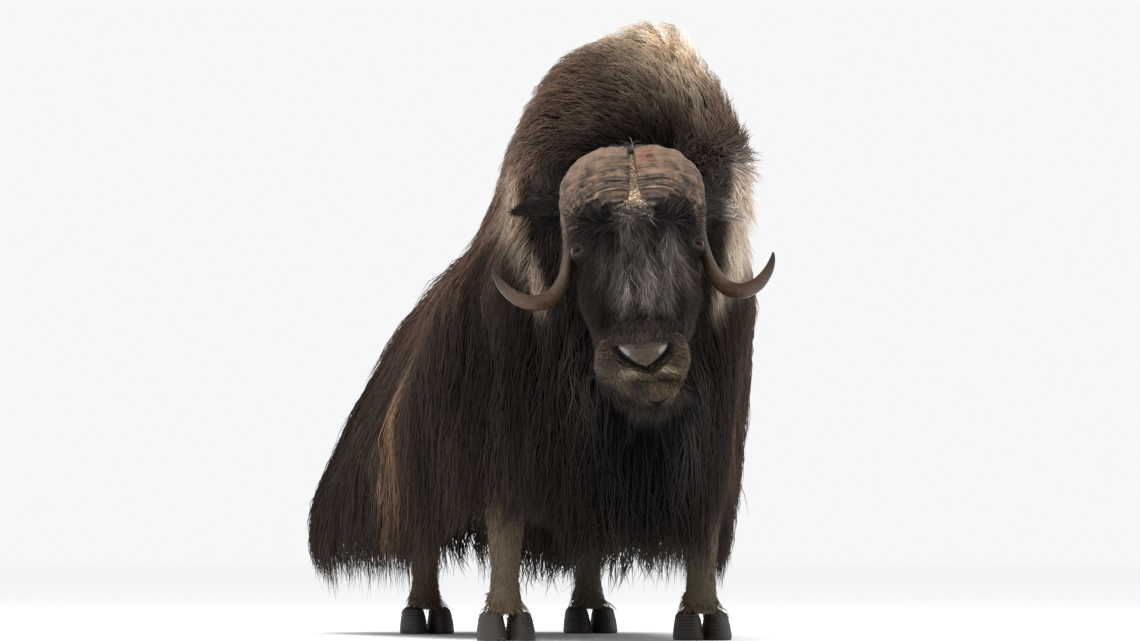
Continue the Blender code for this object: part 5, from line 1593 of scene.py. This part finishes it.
def growEars():
    found = []
    for side in (1, -1):
        def onEar(points):
            p = modelToHead(points)
            return (p[:, 0] * side > 0.128) & (p[:, 1] > 0.06) & (p[:, 1] < 0.16) & (p[:, 2] > 0.05) & (p[:, 2] < 0.20)

        points, normals = scatterOnSkin(onEar, 2400)
        way = (headRotation @ ((np.array(ear["tip"][side]) - np.array(ear["root"])) * [side, 1, 1]))
        found.append((points, normals, np.tile(unit(way), (len(points), 1))))
    points, normals, ways = [np.concatenate(part) for part in zip(*found)]
    inHead = modelToHead(points)
    style = {"rings": 3, "turn": 0.35, "lift": 0.30, "curl": 0.25, "arch": 1.8, "sink": 0.001}
    left = inHead[:, 0] > 0
    lengths = rng.uniform(0.007, 0.012, len(points)) + 0.018 * left * rng.uniform(0, 1, len(points))
    path, across, size = growShort(points, normals, ways, lengths, 0.0008, style)
    upper = smoothStep(0.140, 0.165, inHead[:, 2])[:, None, None]
    colour = mix(np.array([0.012, 0.009, 0.008]), np.array([0.060, 0.050, 0.045]), upper * 0.8)
    tip = (left * smoothStep(0.185, 0.215, inHead[:, 0]))[:, None, None]
    leftColour = mix(np.array([0.060, 0.050, 0.045]), np.array([0.42, 0.36, 0.32]), tip)
    colour = np.where(left[:, None, None], leftColour, colour)
    colour = colour * np.exp(rng.normal(0, 0.4, (len(path), 1, 1))) * np.ones(path.shape)
    shares = np.stack([np.abs(inHead[:, 0]) * 2 % 1, inHead[:, 2] * 4 % 1], axis=1)
    return path, across, size, colour, bakePlace("ears", shares)


# Pale fuzz in the groove of the boss and grey curls behind it.
def growBossFuzz():
    count = 2200
    z = rng.uniform(0.056, 0.222, count)
    wide = mix(0.0165, 0.034, smoothStep(0.112, 0.066, z))
    x = rng.uniform(-1, 1, count) * wide + 0.003 * np.sin(z * 120)
    y = np.interp(z, [0.060, 0.090, 0.142, 0.185, 0.222], [-0.030, -0.028, -0.020, -0.006, 0.022]) + rng.uniform(0, 0.006, count)
    y = y - 0.9 * np.maximum(np.abs(x) - 0.009, 0) * smoothStep(0.080, 0.100, z)
    front = np.stack([x, y, z], axis=1)
    frontWay = rng.normal(0, 1, (count, 3)) * mix(0.30, 0.75, smoothStep(0.080, 0.110, z))[:, None] + [0, -0.2, -1.0]
    frontLength = mix(0.010, 0.019, smoothStep(0.110, 0.062, z))
    more = 1900
    angle = rng.uniform(-1.0, 1.0, more)
    top = np.stack([0.080 * angle, rng.uniform(0.010, 0.075, more), 0.222 - 0.040 * angle ** 2], axis=1)
    topWay = rng.normal(0, 0.9, (more, 3)) + [0, -0.2, 0.9]
    points = np.concatenate([front, top])
    ways = np.concatenate([frontWay, topWay])
    lengths = np.concatenate([frontLength, rng.uniform(0.016, 0.030, more)])
    normals = unit(np.concatenate([np.tile([0.0, -1.0, 0.1], (count, 1)), np.tile([0.0, -0.4, 1.0], (more, 1))])
                   + rng.normal(0, 0.3, (count + more, 3)))
    style = {"rings": 4, "turn": 0.6, "lift": 0.5, "curl": 0.9, "arch": 2.6, "sink": 0.002}
    path, across, size = growShort(points, normals, ways, lengths, 0.0007, style)
    pale, grey = np.array([0.600, 0.475, 0.345]), np.array([0.105, 0.087, 0.079])
    fade = smoothStep(0.106, 0.076, z)[:, None]
    frontColour = mix(pale, np.array([0.125, 0.102, 0.088]), fade)
    colour = np.concatenate([frontColour, np.tile(grey, (more, 1))])[:, None]
    colour = colour * np.exp(rng.normal(0, 0.60, (len(path), 1, 1))) * np.ones(path.shape)
    shares = np.stack([0.5 + points[:, 0] * 2, 0.7 + points[:, 2]], axis=1)
    return headToModel(path), across @ headRotation.T, size, colour, bakePlace("head", np.clip(shares, 0, 1))


# Curly wool on the animal's left, between the boss and the ruff.
def growCurls():
    def inPatch(point):
        across = point[0] * ruff["slant"][0] + point[1] * ruff["slant"][1]
        level = 0.93 < point[2] < 1.12
        return level and point[0] > 0.10 and across < 0.288 and point[1] < -0.04 and not inHeadCore(point)

    roots = evenRoots(tipGrid, 0.0062, inPatch)
    points = np.array([root[0] for root in roots])
    normals = np.array([tipTree.find_nearest(Vector(point))[1] * tipSign for point in points])
    ways = np.array([noise.noise_vector(Vector(point) * 14.0) for point in points]) * 1.6 + [0.15, -0.1, -0.2]
    lengths = rng.uniform(0.022, 0.038, len(points))
    style = {"rings": 5, "turn": 0.5, "lift": 0.26, "curl": 0.75, "arch": 2.4, "sink": 0.020}
    path, across, size = growShort(points, normals, ways, lengths, 0.0014, style)
    path = fitted(path)
    colour = furColour(path) * np.exp(rng.normal(0, 0.30, (len(path), 1, 1))) * np.linspace(0.5, 1.45, 5)[None, :, None]
    shares = np.array([[root[1], root[2]] for root in roots])
    return path, across, size, np.clip(colour, 0.002, 0.9), bakePlace("body", shares)


# Below the hump's whorl on that side the hair turns from backwards to downwards.
def growWhorl():
    def inPatch(point):
        return point[0] > 0.16 and -0.34 < point[1] < 0.22 and 0.94 < point[2] < 1.125 and not inHeadCore(point)

    roots = evenRoots(tipGrid, 0.0062, inPatch)
    points = np.array([root[0] for root in roots])
    normals = np.array([tipTree.find_nearest(Vector(point))[1] * tipSign for point in points])
    turned = smoothStep(1.00, 1.13, points[:, 2])[:, None]
    ways = mix(np.array([0.0, 0.10, -1.0]), np.array([0.0, 1.0, 0.15]), turned)
    ways = ways + 0.5 * np.array([noise.noise_vector(Vector(point) * 7.0) for point in points])
    lengths = rng.uniform(0.055, 0.095, len(points))
    style = {"rings": 5, "turn": 0.16, "lift": 0.05, "curl": 0.22, "arch": 2.6, "sink": 0.022}
    path, across, size = growShort(points, normals, ways, lengths, 0.0013, style)
    path = fitted(path)
    colour = furColour(path) * np.exp(rng.normal(0, 0.20, (len(path), 1, 1))) * np.linspace(0.62, 1.22, 5)[None, :, None]
    shares = np.array([[root[1], root[2]] for root in roots])
    return path, across, size, np.clip(colour, 0.002, 0.9), bakePlace("body", shares)


def growLegs():
    def onLeg(points):
        return (points[:, 2] < 0.40) & (points[:, 2] > 0.066) & (insideLeg(points) > 0.5)

    points, normals = scatterOnSkin(onLeg, 8000)
    ways = np.tile([0.0, 0.12, -1.0], (len(points), 1)) + rng.normal(0, 0.08, (len(points), 3))
    low = points[:, 2]
    lengths = mix(0.016, 0.034, smoothStep(0.12, 0.34, low))
    coronet = smoothStep(0.105, 0.075, low)
    lengths = np.minimum(mix(lengths, 0.034, coronet), np.maximum(low - 0.030, 0.012))
    style = {"rings": 3, "turn": 0.12, "lift": mix(0.16, 0.62, coronet), "curl": 0.12, "arch": 1.6, "sink": 0.0015}
    path, across, size = growShort(points, normals, ways, lengths, 0.0010, style)
    tone = np.exp(rng.normal(0, 0.18, (len(path), 1, 1))) * np.linspace(0.75, 1.2, 3)[None, :, None]
    shares = np.stack([np.arctan2(normals[:, 1], normals[:, 0]) / 6.2832 % 1 * 0.24 + 0.25 * (points[:, 0] > 0)
                       + 0.5 * (points[:, 1] > 0.5), low / 0.42], axis=1)
    return path, across, size, np.clip(furColour(path, True) * tone, 0.002, 0.9), bakePlace("legs", shares)


def growTail():
    def onTail(points):
        return (points[:, 1] > 1.325) & (np.abs(points[:, 0]) < 0.055) & (points[:, 2] > 0.575)

    points, normals = scatterOnSkin(onTail, 1500)
    ways = np.tile([0.0, 0.30, -1.0], (len(points), 1)) + rng.normal(0, 0.10, (len(points), 3))
    lengths = rng.uniform(0.035, 0.070, len(points))
    style = {"rings": 4, "turn": 0.12, "lift": 0.14, "curl": 0.14, "arch": 2.2, "sink": 0.0015}
    path, across, size = growShort(points, normals, ways, lengths, 0.0013, style)
    path[..., 1] = np.minimum(path[..., 1], 1.428)
    tone = np.exp(rng.normal(0, 0.20, (len(path), 1, 1))) * np.linspace(0.7, 1.25, 4)[None, :, None]
    shares = np.stack([0.5 + points[:, 0] * 8, (points[:, 2] - 0.57) * 3.5], axis=1)
    return path, across, size, np.clip(furColour(path) * tone, 0.002, 0.9), bakePlace("tail", np.clip(shares, 0, 1))


# floor, world and lamps: plain and pale, with soft studio light
studio = {"floor": (0.97, 0.97, 0.97), "world": 0.93, "floorHalf": 60.0}


def makeStudio():
    world = bpy.data.worlds.new("studio")
    bpy.context.scene.world = world
    world.use_nodes = True
    background = world.node_tree.nodes["Background"]
    background.inputs["Color"].default_value = (studio["world"],) * 3 + (1.0,)
    background.inputs["Strength"].default_value = 1.0
    scene = bpy.context.scene
    scene.view_settings.view_transform = "Standard"
    scene.view_settings.look = "None"
    half = studio["floorHalf"]
    mesh = bpy.data.meshes.new("floor")
    mesh.from_pydata([(-half, -half, 0), (half, -half, 0), (half, half, 0), (-half, half, 0)], [], [(0, 1, 2, 3)])
    floor = bpy.data.objects.new("floor", mesh)
    scene.collection.objects.link(floor)
    material, nodes, links, shader = newMaterial("floorPaint")
    shader.inputs["Base Color"].default_value = (*studio["floor"], 1.0)
    shader.inputs["Roughness"].default_value = 0.9
    mesh.materials.append(material)
    for name, place, size, power in (("topLamp", (-1.5, -2.5, 5.0), 4.0, 260.0), ("rimLamp", (2.5, 3.0, 4.0), 3.0, 160.0),
                                     ("eyeLamp", (-3.2, -9.0, 3.6), 0.5, 16.0)):
        lamp = bpy.data.lights.new(name, "AREA")
        lamp.shape = "DISK"
        lamp.size = size
        lamp.energy = power
        holder = bpy.data.objects.new(name, lamp)
        scene.collection.objects.link(holder)
        holder.location = place
        holder.visible_glossy = name == "eyeLamp"
        aim = Vector((0, 0, 0.8)) - Vector(place)
        holder.rotation_euler = aim.to_track_quat("-Z", "Y").to_euler()


makeCamera()
makeStudio()
print("camera and studio ready")

fleshNodes = ["head", "ear_left", "ear_right", "neck", "shoulders", "torso", "rump", "breech", "tail"]
fleshNodes += [f"skirt_{part}_{side}" for part in ("fore", "mid", "hind") for side in ("left", "right")]
fleshNodes += [f"{kind}leg_{side}_{part}" for kind in ("fore", "hind") for side in ("left", "right")
               for part in ("upper", "lower")]
furTone = furGroup()
skin = makeSkin()
vertexPoints = np.empty(len(skin.data.vertices) * 3)
skin.data.vertices.foreach_get("co", vertexPoints)
setColours(skin.data, skinColour(vertexPoints.reshape(-1, 3)))
skinCorners, skinNormals, skinAreas, skinCentres = readSkin(skin.data)
skin.data.transform(Matrix.Translation(toFrame))
skin.data.materials.clear()
skin.data.materials.append(furMaterial("skinUnderFur", furTone, 300.0, 0.3, 0.2))
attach(skin, "root")
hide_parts(*fleshNodes)
print("skin:", len(skin.data.polygons), "faces")

coatMaterial = furMaterial("guardHair", furTone, 90.0, 0.12, 0.18)


def onHump(point):
    return humpShare(Vector(point)) > 0.3 or (point[1] < -0.12 and point[2] > 0.80)


# The flat underside grows no long hair.
def onBelly(point):
    row = tableRow(coat["sections"], coat["coreMiddle"] + (point[1] - coat["coreMiddle"]) / coat["coreShortening"])
    low = point[2] < row[5] + coat["coreHemRise"] + 0.010
    return low and -0.25 < point[1] < 0.02 and abs(point[0]) < 0.5 * row[4]


def onFlank(point):
    return point[2] > 0.325 and not onHump(point) and not inHeadCore(point) and not onBelly(point)


flankStrands = growZone("flank", onFlank)
makePieces("flank_hair", flankStrands, coatMaterial, "long_coat")
humpStrands = growZone("hump", lambda point: onHump(point) and not inHeadCore(point))
makePieces("mane_hair", humpStrands, coatMaterial, "mane")

grain = grainGroup()
hornMaterial = grainMaterial("weatheredHorn", grain, {"Coarse": 90.0, "Fine": 520.0, "Amount": 0.25,
                                                      "RoughLow": 0.24, "RoughHigh": 0.46}, 0.0012)
crackHorn(hornMaterial)
hoofMaterial = grainMaterial("dullHoof", grain, {"Coarse": 70.0, "Fine": 420.0, "Stretch": 3.0, "Amount": 0.4,
                                                 "RoughLow": 0.45, "RoughHigh": 0.75}, 0.0006, (0.030, 0.024, 0.020))
eyeMaterial = grainMaterial("wetEye", grain, {"Coarse": 300.0, "Fine": 1500.0, "Amount": 0.12, "RoughLow": 0.03,
                                              "RoughHigh": 0.06}, 0.00001, None, 0.10)
for side, word in ((1, "left"), (-1, "right")):
    makeHorn(side, f"horn_{word}_shell")
    makeEye(side, f"eye_{word}_ball")
    for kind in ("fore", "hind"):
        makeHooves(kind, side, word)
print("horns, eyes and hooves made")
shortHair = furMaterial("shortHair", furTone, 260.0, 0.12, 0.22)
makePieces("face_hair", growFace(), shortHair, "short_coat")
makePieces("lid_hair", growLids(), shortHair, "short_coat")
makePieces("ear_hair", growEars(), shortHair, "short_coat")
makePieces("boss_fuzz", growBossFuzz(), shortHair, "mane")
makePieces("neck_curls", growCurls(), coatMaterial, "mane")
makePieces("neck_whorl", growWhorl(), coatMaterial, "mane")
makePieces("leg_hair", growLegs(), shortHair, "stocking")
makePieces("tail_hair", growTail(), coatMaterial, "long_coat")
